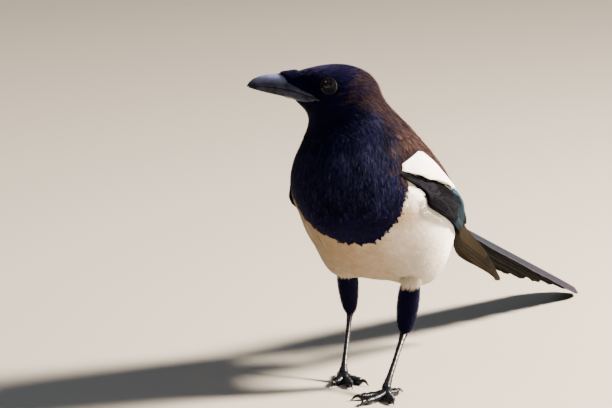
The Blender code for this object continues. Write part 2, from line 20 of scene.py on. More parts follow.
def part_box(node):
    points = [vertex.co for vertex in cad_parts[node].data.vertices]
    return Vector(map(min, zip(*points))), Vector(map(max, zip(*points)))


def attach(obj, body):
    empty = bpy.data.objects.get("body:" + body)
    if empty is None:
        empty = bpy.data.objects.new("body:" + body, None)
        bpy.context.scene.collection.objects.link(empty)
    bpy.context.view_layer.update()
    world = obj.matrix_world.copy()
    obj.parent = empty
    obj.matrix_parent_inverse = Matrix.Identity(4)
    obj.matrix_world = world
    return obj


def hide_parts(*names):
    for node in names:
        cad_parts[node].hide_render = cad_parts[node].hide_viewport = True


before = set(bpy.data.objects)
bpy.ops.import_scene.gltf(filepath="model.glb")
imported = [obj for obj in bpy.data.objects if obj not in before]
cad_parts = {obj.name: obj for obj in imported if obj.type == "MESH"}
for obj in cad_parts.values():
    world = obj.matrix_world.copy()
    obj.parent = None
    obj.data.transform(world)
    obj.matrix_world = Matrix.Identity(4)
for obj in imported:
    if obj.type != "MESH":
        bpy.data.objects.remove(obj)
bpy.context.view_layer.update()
log = logging.getLogger("magpie")

MM = 0.001
EYES_AT = np.array([-12.0, -24.4, 183.4])
HEAD_YAW = 66.0
EYE_OUT = 11.0
EYE_RADIUS = 4.8
HEAD_CUT = 20.0
BILL_TIP = 46.4
GAPE = 6.5
THROAT = (15.0, 0.0, -33.0)
BACK = np.array([0.0, 100.0, 151.8])
TAIL_ROOT = np.array([0.0, 96.0, 91.0])
WING_FROM = np.array([0.0, -30.0, 122.0])
WING_TIP = 193.0
PIECE_LIMIT = 190000
TIP_SHARE = 0.8
TRUNK = (((0, -17.8, 125.2), (33.2, 33.2, 28.9), 0, 30),
         ((0, 20, 105.4), (52.9, 38.6, 32.1), 36, 30),
         ((0, 22.1, 101), (33.8, 39.6, 33), 20, 24),
         ((0, 22.2, 126.3), (45.1, 24.5, 10.9), 48, 22),
         ((24.3, 19.3, 79.8), (18, 16.5, 18.8), 20, 10),
         ((-22.7, 23.5, 78.1), (14.7, 11.9, 15.7), 20, 10),
         ((0, 62, 95), (46, 23, 17), 20, 26),
         ((0, 92, 88), (32, 13, 8.5), 20, 10))
Array = np.ndarray


class Side(Enum):
    """The bird's own sides."""

    LEFT = 1
    RIGHT = -1

    @property
    def tag(self) -> str:
        """Letter that ends the names of this side's pieces."""
        return "L" if self is Side.LEFT else "R"


class Slot(Enum):
    """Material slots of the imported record."""

    BLACK = "plumage_black"
    WHITE = "plumage_white"
    BLUE = "plumage_blue"
    TAIL = "tail_green"
    BILL = "bill"
    EYE = "eye"
    LEG = "leg"
    CLAW = "claw"


# Shape of the bird


def turned(yaw: float, pitch: float = 0.0) -> Array:
    """Columns forward, left and up of a piece turned right by yaw."""
    y, p = math.radians(yaw), math.radians(pitch)
    ahead = np.array([-math.sin(y) * math.cos(p),
                      -math.cos(y) * math.cos(p), math.sin(p)])
    left = np.array([math.cos(y), -math.sin(y), 0.0])
    return np.stack([ahead, left, np.cross(ahead, left)], 1)


HEAD = turned(HEAD_YAW)
DROP = math.radians(24.2)
WING_ALONG = np.array([0.0, math.cos(DROP), -math.sin(DROP)])
WING_UP = np.array([0.0, math.sin(DROP), math.cos(DROP)])


def head(a: Array | float, b: Array | float, c: Array | float) -> Array:
    """Point a ahead, b left and c above the middle between the eyes."""
    abc = np.stack(np.broadcast_arrays(
        np.asarray(a, float), np.asarray(b, float), np.asarray(c, float)), -1)
    return EYES_AT + abc @ HEAD.T


def unit(v: Array) -> Array:
    """Vectors of length one."""
    v = np.asarray(v, float)
    return v / np.maximum(np.linalg.norm(v, axis=-1, keepdims=True), 1e-12)


def ellipsoid(p: Array, centre: Sequence[float], radii: Sequence[float],
              axes: Array) -> Array:
    """Distance, near enough, to an ellipsoid."""
    q, r = (p - np.array(centre)) @ axes, np.array(radii, float)
    k0 = np.linalg.norm(q / r, axis=-1)
    k1 = np.linalg.norm(q / (r * r), axis=-1)
    return k0 * (k0 - 1.0) / np.maximum(k1, 1e-9)


def cone(p: Array, a: Sequence[float], b: Sequence[float], ra: float,
         rb: float) -> Array:
    """Distance to a round-ended cone from a to b."""
    a, b = np.array(a, float), np.array(b, float)
    t = np.clip(((p - a) @ (b - a)) / ((b - a) @ (b - a)), 0, 1)
    return (np.linalg.norm(p - a - t[..., None] * (b - a), axis=-1)
            - (ra + (rb - ra) * t))


def smin(a: Array, b: Array, k: float) -> Array:
    """Smaller of two distances, rounded over k."""
    h = np.maximum(k - np.abs(a - b), 0) / k
    return np.minimum(a, b) - h * h * k * 0.25


def body(p: Array) -> Array:
    """Signed distance to the coat's outside."""
    d = ellipsoid(p, head(-5, 0, -5), (20.1, 16, 11.9), HEAD)
    d = smin(d, ellipsoid(p, head(9, 0, -2.2), (17.5, 9, 9.6), HEAD), 9)
    d = smin(d, cone(p, head(-10, 0, -10.5), (1.4, -12.9, 148.1), 13.6,
                     17.4), 18)
    for centre, radii, pitch, blend in TRUNK:
        d = smin(d, ellipsoid(p, centre, radii, turned(0, pitch)), blend)
    return d


def wing_guide(p: Array) -> Array:
    """The body rounded out to carry the folded wings to their tips."""
    return smin(body(p), cone(p, WING_FROM + WING_ALONG * 50,
                              WING_FROM + WING_ALONG * WING_TIP, 33.5, 19),
                12)


def cast(start: Array, ray: Array, shape: Callable[[Array], Array],
         steps: int = 70) -> Array:
    """Points where rays from inside a shape reach its outside.

    Args:
        start: Where the rays begin.
        ray: Their unit directions.
        shape: Signed distance function.
        steps: How many times each ray is moved on.

    Returns:
        One point for each ray.
    """
    start, ray = np.broadcast_arrays(np.asarray(start, float), ray)
    t = np.zeros(ray.shape[:-1])
    for _ in range(steps):
        t = t - shape(start + ray * t[..., None]) * 0.8
    return start + ray * t[..., None]


def smooth(x: Array | float, low: float, high: float) -> Array:
    """Smooth step from 0 at low to 1 at high."""
    t = np.clip((np.asarray(x, float) - low) / (high - low), 0, 1)
    return t * t * (3 - 2 * t)


def wobble(p: Array, size: float, seed: float = 0.0) -> Array:
    """Slow even noise from -1 to 1 over points, repeatable."""
    q = np.asarray(p) / size
    return (np.sin(q[..., 0] * 1.7 + q[..., 1] * 2.3 + seed)
            + np.sin(q[..., 1] * 2.9 - q[..., 2] * 1.9 + seed * 1.7)
            + np.sin(q[..., 2] * 2.6 + q[..., 0] * 3.1 + seed * 2.3)) / 3


# Meshes


class Place:
    """Carries the bird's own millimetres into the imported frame's metres."""

    def __init__(self) -> None:
        """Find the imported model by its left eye."""
        low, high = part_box("eye_L")
        middle = (np.array(low) + np.array(high)) / 2
        self.shift = middle - head(0, EYE_OUT, 0) * MM

    def __call__(self, points: Array) -> Array:
        """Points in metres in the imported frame."""
        return np.asarray(points, float) * MM + self.shift


PLACE = Place()


@dataclass
class Piece:
    """Points and faces gathered for one mesh object."""

    name: str
    slot: Slot
    points: list[Array] = field(default_factory=list)
    quads: list[Array] = field(default_factory=list)
    maps: list[Array] = field(default_factory=list)
    grain: list[Array] = field(default_factory=list)
    tones: list[Array] = field(default_factory=list)
    normals: list[Array] = field(default_factory=list)
    count: int = 0

    def add(self, points: Array, quads: Array, bake: Array,
            grain: Array | None = None, tone: Array | float = 0.5,
            normals: Array | None = None) -> None:
        """Add a patch of points and four-sided faces.

        Args:
            points: Places in mm, any leading shape.
            quads: Indices into the flattened points.
            bake: Places on the OFBake map.
            grain: Places along and across a feather, for its barbs.
            tone: A shade from 0 to 1 for each point, or one for all.
            normals: Directions that shade the patch.
        """
        flat = points.reshape(-1, 3)
        self.points.append(flat)
        self.quads.append(quads.reshape(-1, 4) + self.count)
        self.maps.append(bake.reshape(-1, 2))
        self.grain.append(np.zeros((len(flat), 2)) if grain is None
                          else grain.reshape(-1, 2))
        self.tones.append(np.broadcast_to(np.asarray(tone, float).reshape(
            -1) if np.ndim(tone) else np.full(len(flat), tone), len(flat)))
        if normals is not None:
            self.normals.append(normals.reshape(-1, 3))
        self.count += len(flat)

    def finish(self, material: bpy.types.Material, replaces: Sequence[str],
               smooth_shade: bool = True) -> bpy.types.Object:
        """Args:
            material: Its material.
            replaces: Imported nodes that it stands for.
            smooth_shade: Whether its faces are shaded smooth.

        Returns:
            The new object.
        """
        points = PLACE(np.concatenate(self.points)).astype(np.float32)
        quads = np.concatenate(self.quads).astype(np.int32)
        triple = quads[:, 2] == quads[:, 3]
        sizes = np.where(triple, 3, 4).astype(np.int32)
        keep = np.ones(quads.shape, bool)
        keep[triple, 3] = False
        loops = quads[keep]
        mesh = bpy.data.meshes.new(self.name)
        mesh.vertices.add(len(points))
        mesh.vertices.foreach_set("co", points.ravel())
        mesh.loops.add(len(loops))
        mesh.loops.foreach_set("vertex_index", loops)
        mesh.polygons.add(len(quads))
        starts = np.concatenate([[0], np.cumsum(sizes)[:-1]])
        mesh.polygons.foreach_set("loop_start", starts.astype(np.int32))
        mesh.polygons.foreach_set("loop_total", sizes)
        mesh.polygons.foreach_set(
            "use_smooth", np.full(len(quads), smooth_shade))
        for label, data in (("OFBake", self.maps), ("grain", self.grain)):
            layer = mesh.uv_layers.new(name=label)
            layer.data.foreach_set("uv", np.concatenate(data)[
                loops].astype(np.float32).ravel())
        tone = mesh.attributes.new("tone", "FLOAT", "POINT")
        tone.data.foreach_set(
            "value", np.concatenate(self.tones).astype(np.float32))
        mesh.update()
        mesh.validate()
        if self.normals:
            mesh.normals_split_custom_set_from_vertices(
                unit(np.concatenate(self.normals)).tolist())
        mesh.materials.append(material)
        obj = bpy.data.objects.new(self.name, mesh)
        bpy.context.scene.collection.objects.link(obj)
        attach(obj, "root")
        if replaces:
            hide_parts(*replaces)
        log.info("%s: %d faces", self.name, len(quads))
        return obj


def grid_quads(rows: int, columns: int, ring: bool = False) -> Array:
    """Faces of a grid of points, closed round its columns if a ring."""
    i, j = np.meshgrid(np.arange(rows - 1),
                       np.arange(columns if ring else columns - 1),
                       indexing="ij")
    k = (j + 1) % columns
    return np.stack([i * columns + j, i * columns + k,
                     (i + 1) * columns + k, (i + 1) * columns + j],
                    -1).reshape(-1, 4)


def plane_map(rows: int, columns: int, corner: tuple[float, float] = (0, 0),
              size: tuple[float, float] = (1, 1)) -> Array:
    """Even places on a map for a grid of points."""
    i, j = np.meshgrid(np.linspace(0, 1, rows), np.linspace(0, 1, columns),
                       indexing="ij")
    return np.stack([corner[0] + i * size[0], corner[1] + j * size[1]], -1)


def add_shell(piece: Piece, top: Array, low: Array,
              corner: tuple[float, float] = (0, 0),
              size: tuple[float, float] = (1, 1), grain: Array | None = None,
              tone: Array | float = 0.5) -> None:
    """Add a thin closed sheet between two grids of points.

    Args:
        piece: What it is added to.
        top: Its outer grid of points, in mm.
        low: Its inner grid of points.
        corner: Where it lies on the OFBake map.
        size: How much of the map it takes.
        grain: Places along and across, for the barbs.
        tone: Its shade, or one for each point of the outer grid.
    """
    rows, columns = top.shape[:2]
    count = rows * columns
    index = np.arange(count).reshape(rows, columns)
    rim = np.concatenate([index[0], index[1:, -1], index[-1, -2::-1],
                          index[-2:0:-1, 0]])
    turn = np.roll(rim, -1)
    quads = grid_quads(rows, columns)
    faces = np.concatenate([quads, quads[:, ::-1] + count, np.stack(
        [turn, rim, rim + count, turn + count], -1)])
    i, j = rows // 2, columns // 2
    face = np.cross(top[i, j + 1] - top[i, j], top[i + 1, j] - top[i, j])
    if face @ (top[i, j] - low[i, j]) < 0:
        faces = faces[:, ::-1]
    half = (size[0] * 0.47, size[1] * 0.94)
    bake = [plane_map(rows, columns, (corner[0] + size[0] * x, corner[1]
                                      + size[1] * 0.03), half)
            for x in (0.02, 0.51)]
    if grain is not None:
        grain = np.concatenate([grain.reshape(-1, 2)] * 2)
    if np.ndim(tone):
        tone = np.concatenate([np.asarray(tone).ravel()] * 2)
    piece.add(np.concatenate([top.reshape(-1, 3), low.reshape(-1, 3)]),
              faces, np.concatenate([x.reshape(-1, 2) for x in bake]),
              grain, tone)


def add_tube(piece: Piece, path: Array, radii: Array, sides: int,
             corner: tuple[float, float], size: tuple[float, float],
             floor: bool = False, relief: Callable | None = None,
             closed: bool = True) -> None:
    """Add a tube round a path.

    Args:
        piece: What it is added to.
        path: Points of its middle line, in mm.
        radii: Its radius at each point.
        sides: Points round it.
        corner: Where it lies on the OFBake map.
        size: How much of the map it takes.
        floor: Whether it is flattened where it would pass the floor.
        relief: Scale of the radius from (row, angle) grids.
        closed: Whether its ends are drawn in to a point.
    """
    path = np.asarray(path, float)
    radii = np.asarray(radii, float)
    along = unit(np.gradient(path, axis=0))
    side = np.cross(along[0], (0, 0, 1.0))
    if np.linalg.norm(side) < 1e-3:
        side = np.array([1.0, 0, 0])
    sides_at, ups = [], []
    for direction in along:
        side = unit(side - direction * (side @ direction))
        sides_at.append(side)
        ups.append(np.cross(side, direction))
    angle = np.linspace(0, 2 * math.pi, sides, endpoint=False)
    row, turn = np.meshgrid(np.arange(len(path)), angle, indexing="ij")
    scale = radii[:, None] * (relief(row, turn) if relief else 1.0)
    points = (path[:, None] + (np.cos(turn) * scale)[..., None]
              * np.array(sides_at)[:, None]
              + (np.sin(turn) * scale)[..., None] * np.array(ups)[:, None])
    if closed:
        points[0], points[-1] = path[0], path[-1]
    if floor:
        points[..., 2] = np.maximum(points[..., 2], 0.02)
    bake = plane_map(len(path), sides, corner, size)
    piece.add(points, grid_quads(len(path), sides, True), bake,
              np.stack([row / len(path), turn / 6.28], -1))


# Finishes


@dataclass(frozen=True)
class Finish:
    """A surface: its colours, gloss and the relief of its nodes."""

    name: str
    dark: tuple[float, float, float]
    light: tuple[float, float, float]
    rough: float = 0.5
    metal: float = 0.0
    sheen: float = 0.0
    sheen_tint: tuple[float, float, float] = (1.0, 1.0, 1.0)
    clear: float = 0.0
    specular: float = 0.5
    mottle: float = 900.0
    bump: float = 0.0
    bump_scale: float = 2500.0
    barbs: float = 0.0
    barb_bump: float = 0.3
    through: float = 0.0
    spread: float = 0.5

    def shader(self) -> tuple[bpy.types.Material, bpy.types.Node]:
        """New material with the constant sockets of this finish set."""
        made = bpy.data.materials.new(self.name)
        made.use_nodes = True
        node = made.node_tree.nodes["Principled BSDF"]
        node.inputs["Roughness"].default_value = self.rough
        node.inputs["Metallic"].default_value = self.metal
        node.inputs["Sheen Weight"].default_value = self.sheen
        node.inputs["Sheen Roughness"].default_value = 0.4
        node.inputs["Sheen Tint"].default_value = (*self.sheen_tint, 1)
        node.inputs["Coat Weight"].default_value = self.clear
        node.inputs["Coat Roughness"].default_value = 0.12
        node.inputs["Specular IOR Level"].default_value = self.specular
        if self.through:
            node.inputs["Subsurface Weight"].default_value = self.through
            node.inputs["Subsurface Radius"].default_value = (1, 0.9, 0.8)
            node.inputs["Subsurface Scale"].default_value = 0.002
        return made, node

    def build(self) -> bpy.types.Material:
        """The material with its colour and relief nodes."""
        made, node = self.shader()
        nodes, links = made.node_tree.nodes, made.node_tree.links
        tone = nodes.new("ShaderNodeAttribute")
        tone.attribute_name = "tone"
        noise = nodes.new("ShaderNodeTexNoise")
        noise.inputs["Scale"].default_value = self.mottle
        noise.inputs["Detail"].default_value = 3
        place = nodes.new("ShaderNodeTexCoord")
        links.new(place.outputs["Object"], noise.inputs["Vector"])
        shade = nodes.new("ShaderNodeMath")
        shade.operation = "MULTIPLY_ADD"
        links.new(noise.outputs["Fac"], shade.inputs[0])
        shade.inputs[1].default_value = self.spread
        shift = nodes.new("ShaderNodeMath")
        shift.operation = "SUBTRACT"
        links.new(tone.outputs["Fac"], shift.inputs[0])
        shift.inputs[1].default_value = self.spread / 2
        links.new(shift.outputs[0], shade.inputs[2])
        mix = nodes.new("ShaderNodeMix")
        mix.data_type, mix.clamp_factor = "RGBA", True
        links.new(shade.outputs[0], mix.inputs["Factor"])
        mix.inputs["A"].default_value = (*self.dark, 1)
        mix.inputs["B"].default_value = (*self.light, 1)
        links.new(mix.outputs["Result"], node.inputs["Base Color"])
        if self.barbs:
            self._add_barbs(made, node)
        elif self.bump:
            relief = nodes.new("ShaderNodeTexNoise")
            relief.inputs["Scale"].default_value = self.bump_scale
            links.new(place.outputs["Object"], relief.inputs["Vector"])
            bump = nodes.new("ShaderNodeBump")
            bump.inputs["Strength"].default_value = self.bump
            bump.inputs["Distance"].default_value = 0.0004
            links.new(relief.outputs["Fac"], bump.inputs["Height"])
            links.new(bump.outputs["Normal"], node.inputs["Normal"])
        return made

    def _add_barbs(self, made: bpy.types.Material,
                   node: bpy.types.Node) -> None:
        """Slanting ridges either side of a feather's shaft."""
        nodes, links = made.node_tree.nodes, made.node_tree.links
        grain = nodes.new("ShaderNodeUVMap")
        grain.uv_map = "grain"
        split = nodes.new("ShaderNodeSeparateXYZ")
        links.new(grain.outputs["UV"], split.inputs["Vector"])
        away = nodes.new("ShaderNodeMath")
        away.operation = "ABSOLUTE"
        links.new(split.outputs["Y"], away.inputs[0])
        slant = nodes.new("ShaderNodeMath")
        slant.operation = "MULTIPLY_ADD"
        links.new(away.outputs[0], slant.inputs[0])
        slant.inputs[1].default_value = -1.2
        links.new(split.outputs["X"], slant.inputs[2])
        ridge = nodes.new("ShaderNodeMath")
        ridge.operation = "MULTIPLY"
        links.new(slant.outputs[0], ridge.inputs[0])
        ridge.inputs[1].default_value = self.barbs
        wave = nodes.new("ShaderNodeMath")
        wave.operation = "SINE"
        links.new(ridge.outputs[0], wave.inputs[0])
        bump = nodes.new("ShaderNodeBump")
        bump.inputs["Strength"].default_value = self.barb_bump
        bump.inputs["Distance"].default_value = 0.0003
        links.new(wave.outputs[0], bump.inputs["Height"])
        links.new(bump.outputs["Normal"], node.inputs["Normal"])


BLACK_COAT = Finish("black_coat", (0.0005, 0.0005, 0.0034),
                    (0.0028, 0.0026, 0.0220), 0.6, sheen=0.08,
                    sheen_tint=(0.46, 0.42, 1.0), specular=0.01)
# Throat: the wide spread scatters the bluish-grey light colour over single
# strands as painted glints of light on the hackles.
THROAT_COAT = Finish("throat_coat", (0.0005, 0.0005, 0.0038),
                     (0.0200, 0.0210, 0.0640), 0.55, sheen=0.06,
                     sheen_tint=(0.46, 0.42, 1.0), specular=0.02,
                     spread=0.9)
# Mantle and nape: the brownish light colour is partly worn brown plumage and
# partly a painted warm glow of sunlight.
MANTLE_COAT = Finish("mantle_coat", (0.0010, 0.0009, 0.003),
                     (0.019, 0.0115, 0.0118), 0.65, sheen=0.38,
                     sheen_tint=(1.0, 0.58, 0.50), specular=0.01,
                     mottle=420.0)
# White coat: light is the white plumage; dark is a buff painted shade, mixed
# in by each tuft's tone.
WHITE_COAT = Finish("white_coat", (0.31, 0.225, 0.13), (0.94, 0.92, 0.89),
                    0.85, specular=0.1, mottle=160.0, spread=0.15)
WING_BLACK = Finish("wing_black", (0.0008, 0.0007, 0.0010),
                    (0.019, 0.0195, 0.028), 0.65, specular=0.01, barbs=420.0)
WING_BLUE = Finish("wing_blue", (0.0020, 0.0014, 0.0012),
                   (0.024, 0.062, 0.100), 0.6, metal=0.05, specular=0.01,
                   barbs=420.0)
WING_TIPS = Finish("wing_tips", (0.0016, 0.0011, 0.0008),
                   (0.016, 0.0115, 0.0065), 0.65, specular=0.01,
                   barbs=500.0)
SCAPULAR = Finish("scapular_white", (0.80, 0.78, 0.75), (0.97, 0.96, 0.95),
                  0.75, specular=0.15, barbs=260.0, barb_bump=0.2)
TAIL_TOP = Finish("tail_top", (0.008, 0.004, 0.015), (0.004, 0.009, 0.016),
                  0.42, sheen=0.06, sheen_tint=(0.76, 0.68, 1.0),
                  specular=0.18, barbs=900.0)
# Outer tail feathers' upper faces: dull dark brown painted shade in place of
# the tail's gloss; the coverts also use it.
TAIL_SIDE = Finish("tail_side", (0.0016, 0.0011, 0.0008),
                   (0.005, 0.0055, 0.005), 0.65, specular=0.01, barbs=900.0)
TAIL_UNDER = Finish("tail_under", (0.0014, 0.0010, 0.0008),
                    (0.008, 0.0055, 0.004), 0.65, specular=0.01,
                    barbs=900.0)
# Bill: dark is the black horn; light is a painted blue-grey highlight along
# the culmen.
HORN = Finish("bill_horn", (0.0012, 0.0012, 0.0042), (0.155, 0.172, 0.315),
              0.34, specular=0.12, mottle=260.0, bump=0.12,
              bump_scale=1400.0)
RIM = Finish("lid_skin", (0.002, 0.002, 0.004), (0.012, 0.013, 0.020), 0.45,
             specular=0.12, mottle=3000.0, bump=0.4, bump_scale=4000.0)
GAPE_SKIN = Finish("gape_skin", (0.012, 0.012, 0.016), (0.05, 0.05, 0.06),
                   0.4, specular=0.3, mottle=2000.0, bump=0.3,
                   bump_scale=3000.0)
SHANK = Finish("shank_scales", (0.0010, 0.0011, 0.0022),
               (0.006, 0.0065, 0.013), 0.3, clear=0.12, specular=0.25,
               mottle=800.0, bump=0.15, bump_scale=3000.0)
NAIL = Finish("claw_horn", (0.0015, 0.0015, 0.002), (0.007, 0.0065, 0.008),
              0.25, clear=0.12, specular=0.3, mottle=900.0, bump=0.08,
              bump_scale=2200.0)


# The coat's map


@dataclass
class CoatMap:
    """Grid over the outside of the coat, from the bill to the tail.

    ``u`` counts rows from the bill and ``v`` counts columns from the middle
    of the back round by the bird's left, so that feathers lie along +u.
    """

    columns: int = 120
    rows: int = 0
    point: Array = field(default_factory=lambda: np.zeros(0))
    out: Array = field(default_factory=lambda: np.zeros(0))
    step_u: Array = field(default_factory=lambda: np.zeros(0))
    step_v: Array = field(default_factory=lambda: np.zeros(0))

    @staticmethod
    def station(kind: str, at: float) -> tuple[Array, Array, Array]:
        """Centre, back and left directions of one plane of the body."""
        up = np.array([0.0, 0.0, 1.0])
        if kind == "face":
            return head(at, 0, -2.5), up, HEAD[:, 1]
        if kind == "neck":
            a, f = math.radians(at), at / 90
            away = math.cos(a) * up - math.sin(a) * HEAD[:, 0]
            twist = math.radians(HEAD_YAW) * f * f * (3 - 2 * f)
            side = HEAD[:, 1]
            centre = head(*THROAT) + away * (30 + 3 * f) - side * 7 * f * f
            return (centre,
                    math.cos(twist) * away - math.sin(twist) * side,
                    math.cos(twist) * side + math.sin(twist) * away)
        bend = math.radians(min(at, 70))
        away = np.array([0, -math.cos(bend), -math.sin(bend)])
        along = np.array([0, math.sin(bend), -math.cos(bend)])
        reach = np.interp(at, (0, 15, 30, 40, 50, 60, 70),
                          (111, 112, 98, 85, 74, 67, 62))
        return (BACK + away * reach + along * max(at - 70, 0), -away,
                np.array([1.0, 0, 0]))

    def build(self) -> "CoatMap":
        """Cast the grid on to the body and measure it."""
        planes = [("face", a) for a in np.linspace(HEAD_CUT, 15, 5)[:-1]]
        planes += [("neck", a) for a in np.arange(0, 89, 2.0)]
        planes += [("trunk", a) for a in np.arange(0, 70, 1.0)]
        planes += [("trunk", a) for a in np.arange(70, 96.1, 2.0)]
        angle = np.linspace(0, 2 * math.pi, self.columns, endpoint=False)
        starts, rays = [], []
        for kind, at in planes:
            centre, back, left = self.station(kind, at)
            rays.append(np.outer(np.cos(angle), back)
                        + np.outer(np.sin(angle), left))
            starts.append(np.broadcast_to(centre, rays[-1].shape))
        self.point = cast(np.array(starts), np.array(rays), body)
        self.rows = len(planes)
        du = np.gradient(self.point, axis=0)
        dv = (np.roll(self.point, -1, 1) - np.roll(self.point, 1, 1)) / 2
        self.out = unit(np.cross(dv, du))
        sign = np.sign(np.sum(self.out * np.array(rays), -1, keepdims=True))
        self.out = self.out * sign
        self.step_u = np.linalg.norm(du, axis=-1)
        self.step_v = np.linalg.norm(dv, axis=-1)
        return self

    def read(self, grid: Array, u: Array, v: Array) -> Array:
        """Blend a grid's values at fractional rows and columns."""
        u = np.clip(u, 0, self.rows - 1.001)
        i, j = np.floor(u).astype(int), np.floor(v).astype(int)
        fu, fv = u - i, v - j
        j0, j1 = j % self.columns, (j + 1) % self.columns
        if grid.ndim == 3:
            fu, fv = fu[..., None], fv[..., None]
        return ((grid[i, j0] * (1 - fv) + grid[i, j1] * fv) * (1 - fu)
                + (grid[i + 1, j0] * (1 - fv) + grid[i + 1, j1] * fv) * fu)

    def lay(self, u: Array, v: Array, height: Array) -> Array:
        """Points a height in mm above the coat's outside."""
        return (self.read(self.point, u, v)
                + unit(self.read(self.out, u, v)) * height[..., None])

    def bake(self, u: Array, v: Array) -> Array:
        """Places on the OFBake map."""
        return np.stack([0.01 + 0.98 * u / (self.rows - 1),
                         0.01 + 0.98 * (v % self.columns) / self.columns],
                        -1)

    def scatter(self, count: int, weight: Array,
                seed: int) -> tuple[Array, Array]:
        """Evenly spread roots, denser where the weight is more.

        Args:
            count: How many roots.
            weight: Wanted density on the grid of rows and columns.
            seed: Start of the spread.

        Returns:
            Fractional rows and columns.
        """
        area = self.step_u * self.step_v * weight
        area = (area[:-1] + area[1:]) / 2
        area = (area + np.roll(area, -1, 1)) / 2
        k = np.arange(count) + 0.5 + seed * 977.0
        a, b = (k * 0.7548776662) % 1, (k * 0.5698402910) % 1
        row_sum = np.concatenate([[0], np.cumsum(area.sum(1))])
        u = np.interp(a * row_sum[-1], row_sum, np.arange(len(row_sum)))
        cells = area[np.clip(u.astype(int), 0, len(area) - 1)]
        run = np.concatenate([np.zeros((count, 1)), np.cumsum(cells, 1)], 1)
        want = b * run[:, -1]
        j = np.clip((run < want[:, None]).sum(1) - 1, 0, self.columns - 1)
        low, high = run[np.arange(count), j], run[np.arange(count), j + 1]
        v = j + (want - low) / np.maximum(high - low, 1e-9)
        return u, v


class Markings:
    """Where the coat is white."""

    HEIGHTS = (89.1, 91.3, 94.3, 97.2, 101, 104.6, 112.7, 122, 135)
    LEFT = (-8, 26, 32.5, 37.2, 40.8, 43.4, 48.4, 50.0, 51.0)
    RIGHT = (-8, 29, 46, 50.5, 53.2, 53.5, 57, 72, 92)

    @classmethod
    def white(cls, p: Array) -> Array:
        """How white the coat is, from 0 to 1, at points in mm.

        The bib is a tongue of black whose half width in degrees round an
        upright axis grows with height; the back and vent are black.
        """
        wave = wobble(p, 5.0) * 0.7 + wobble(p, 2.0, 3.0) * 0.4
        turn = np.degrees(np.arctan2(p[..., 0] - 3, -(p[..., 1] + 5))) - 11.5
        z = p[..., 2] + wave
        half = np.where(turn > 0, np.interp(z, cls.HEIGHTS, cls.LEFT),
                        np.interp(z, cls.HEIGHTS, cls.RIGHT))
        outside = np.abs(turn + wave * 0.8) - half
        rel = p - WING_FROM
        along = rel @ WING_ALONG
        over = np.degrees(np.arctan2(np.abs(rel[..., 0]), rel @ WING_UP))
        flank = over - np.interp(along, WingLines.ALONG, WingLines.SEAM)
        vent = (39 + 0.014 * p[..., 0] ** 2 + 0.75 * (p[..., 2] - 62)
                - p[..., 1] - wave)
        low = (131 + wave - p[..., 2]) * 2
        best = np.minimum(np.minimum(outside, flank), np.minimum(vent, low))
        return smooth(best, -0.4, 0.4)


class WingLines:
    """Edges of the folded wing, in degrees down from the back."""

    ALONG = (-4, 4, 19, 27, 39, 49, 56, 62, 72, 95, 108, 125, 200)
    SEAM = (67, 68.4, 69.5, 67.5, 66.4, 67, 64, 59, 56.5, 57, 58.5, 58, 36)
    LOW_AT = (-4, 4, 13, 19, 22, 26, 35, 53, 70, 95, 117, 134, 165, 186, 205)
    LOW = (71, 75.5, 78, 80.5, 86, 89, 90, 90.5, 94, 99, 100.5, 99, 92, 88,
           87)
    UP_AT = (-4, 5, 13, 20, 28, 38, 47, 58, 64)
    UP = (62.5, 55.5, 49.5, 48.3, 50, 54.3, 57.6, 60.2, 61)
    REACH_AT = (0, 50, 80, 110, 140, 170, 200)
    REACH = (40, 46, 40, 32, 26, 22, 18)

    @classmethod
    def seam(cls, along: Array) -> Array:
        """Where the white scapulars meet the dark wing."""
        return np.interp(along, cls.ALONG, cls.SEAM)

    @classmethod
    def low(cls, along: Array) -> Array:
        """The wing's lower edge."""
        return np.interp(along, cls.LOW_AT, cls.LOW)

    @classmethod
    def up(cls, along: Array) -> Array:
        """The upper edge of the white scapulars."""
        return np.interp(along, cls.UP_AT, cls.UP)


# Coat pieces


@dataclass(frozen=True)
class Lie:
    """How a patch of coat lies, all lengths in mm."""

    length: float
    width: float
    strands: int
    spread: float
    depth: float
    lift: float
    vane: bool = True
    ruffle: float = 0.25


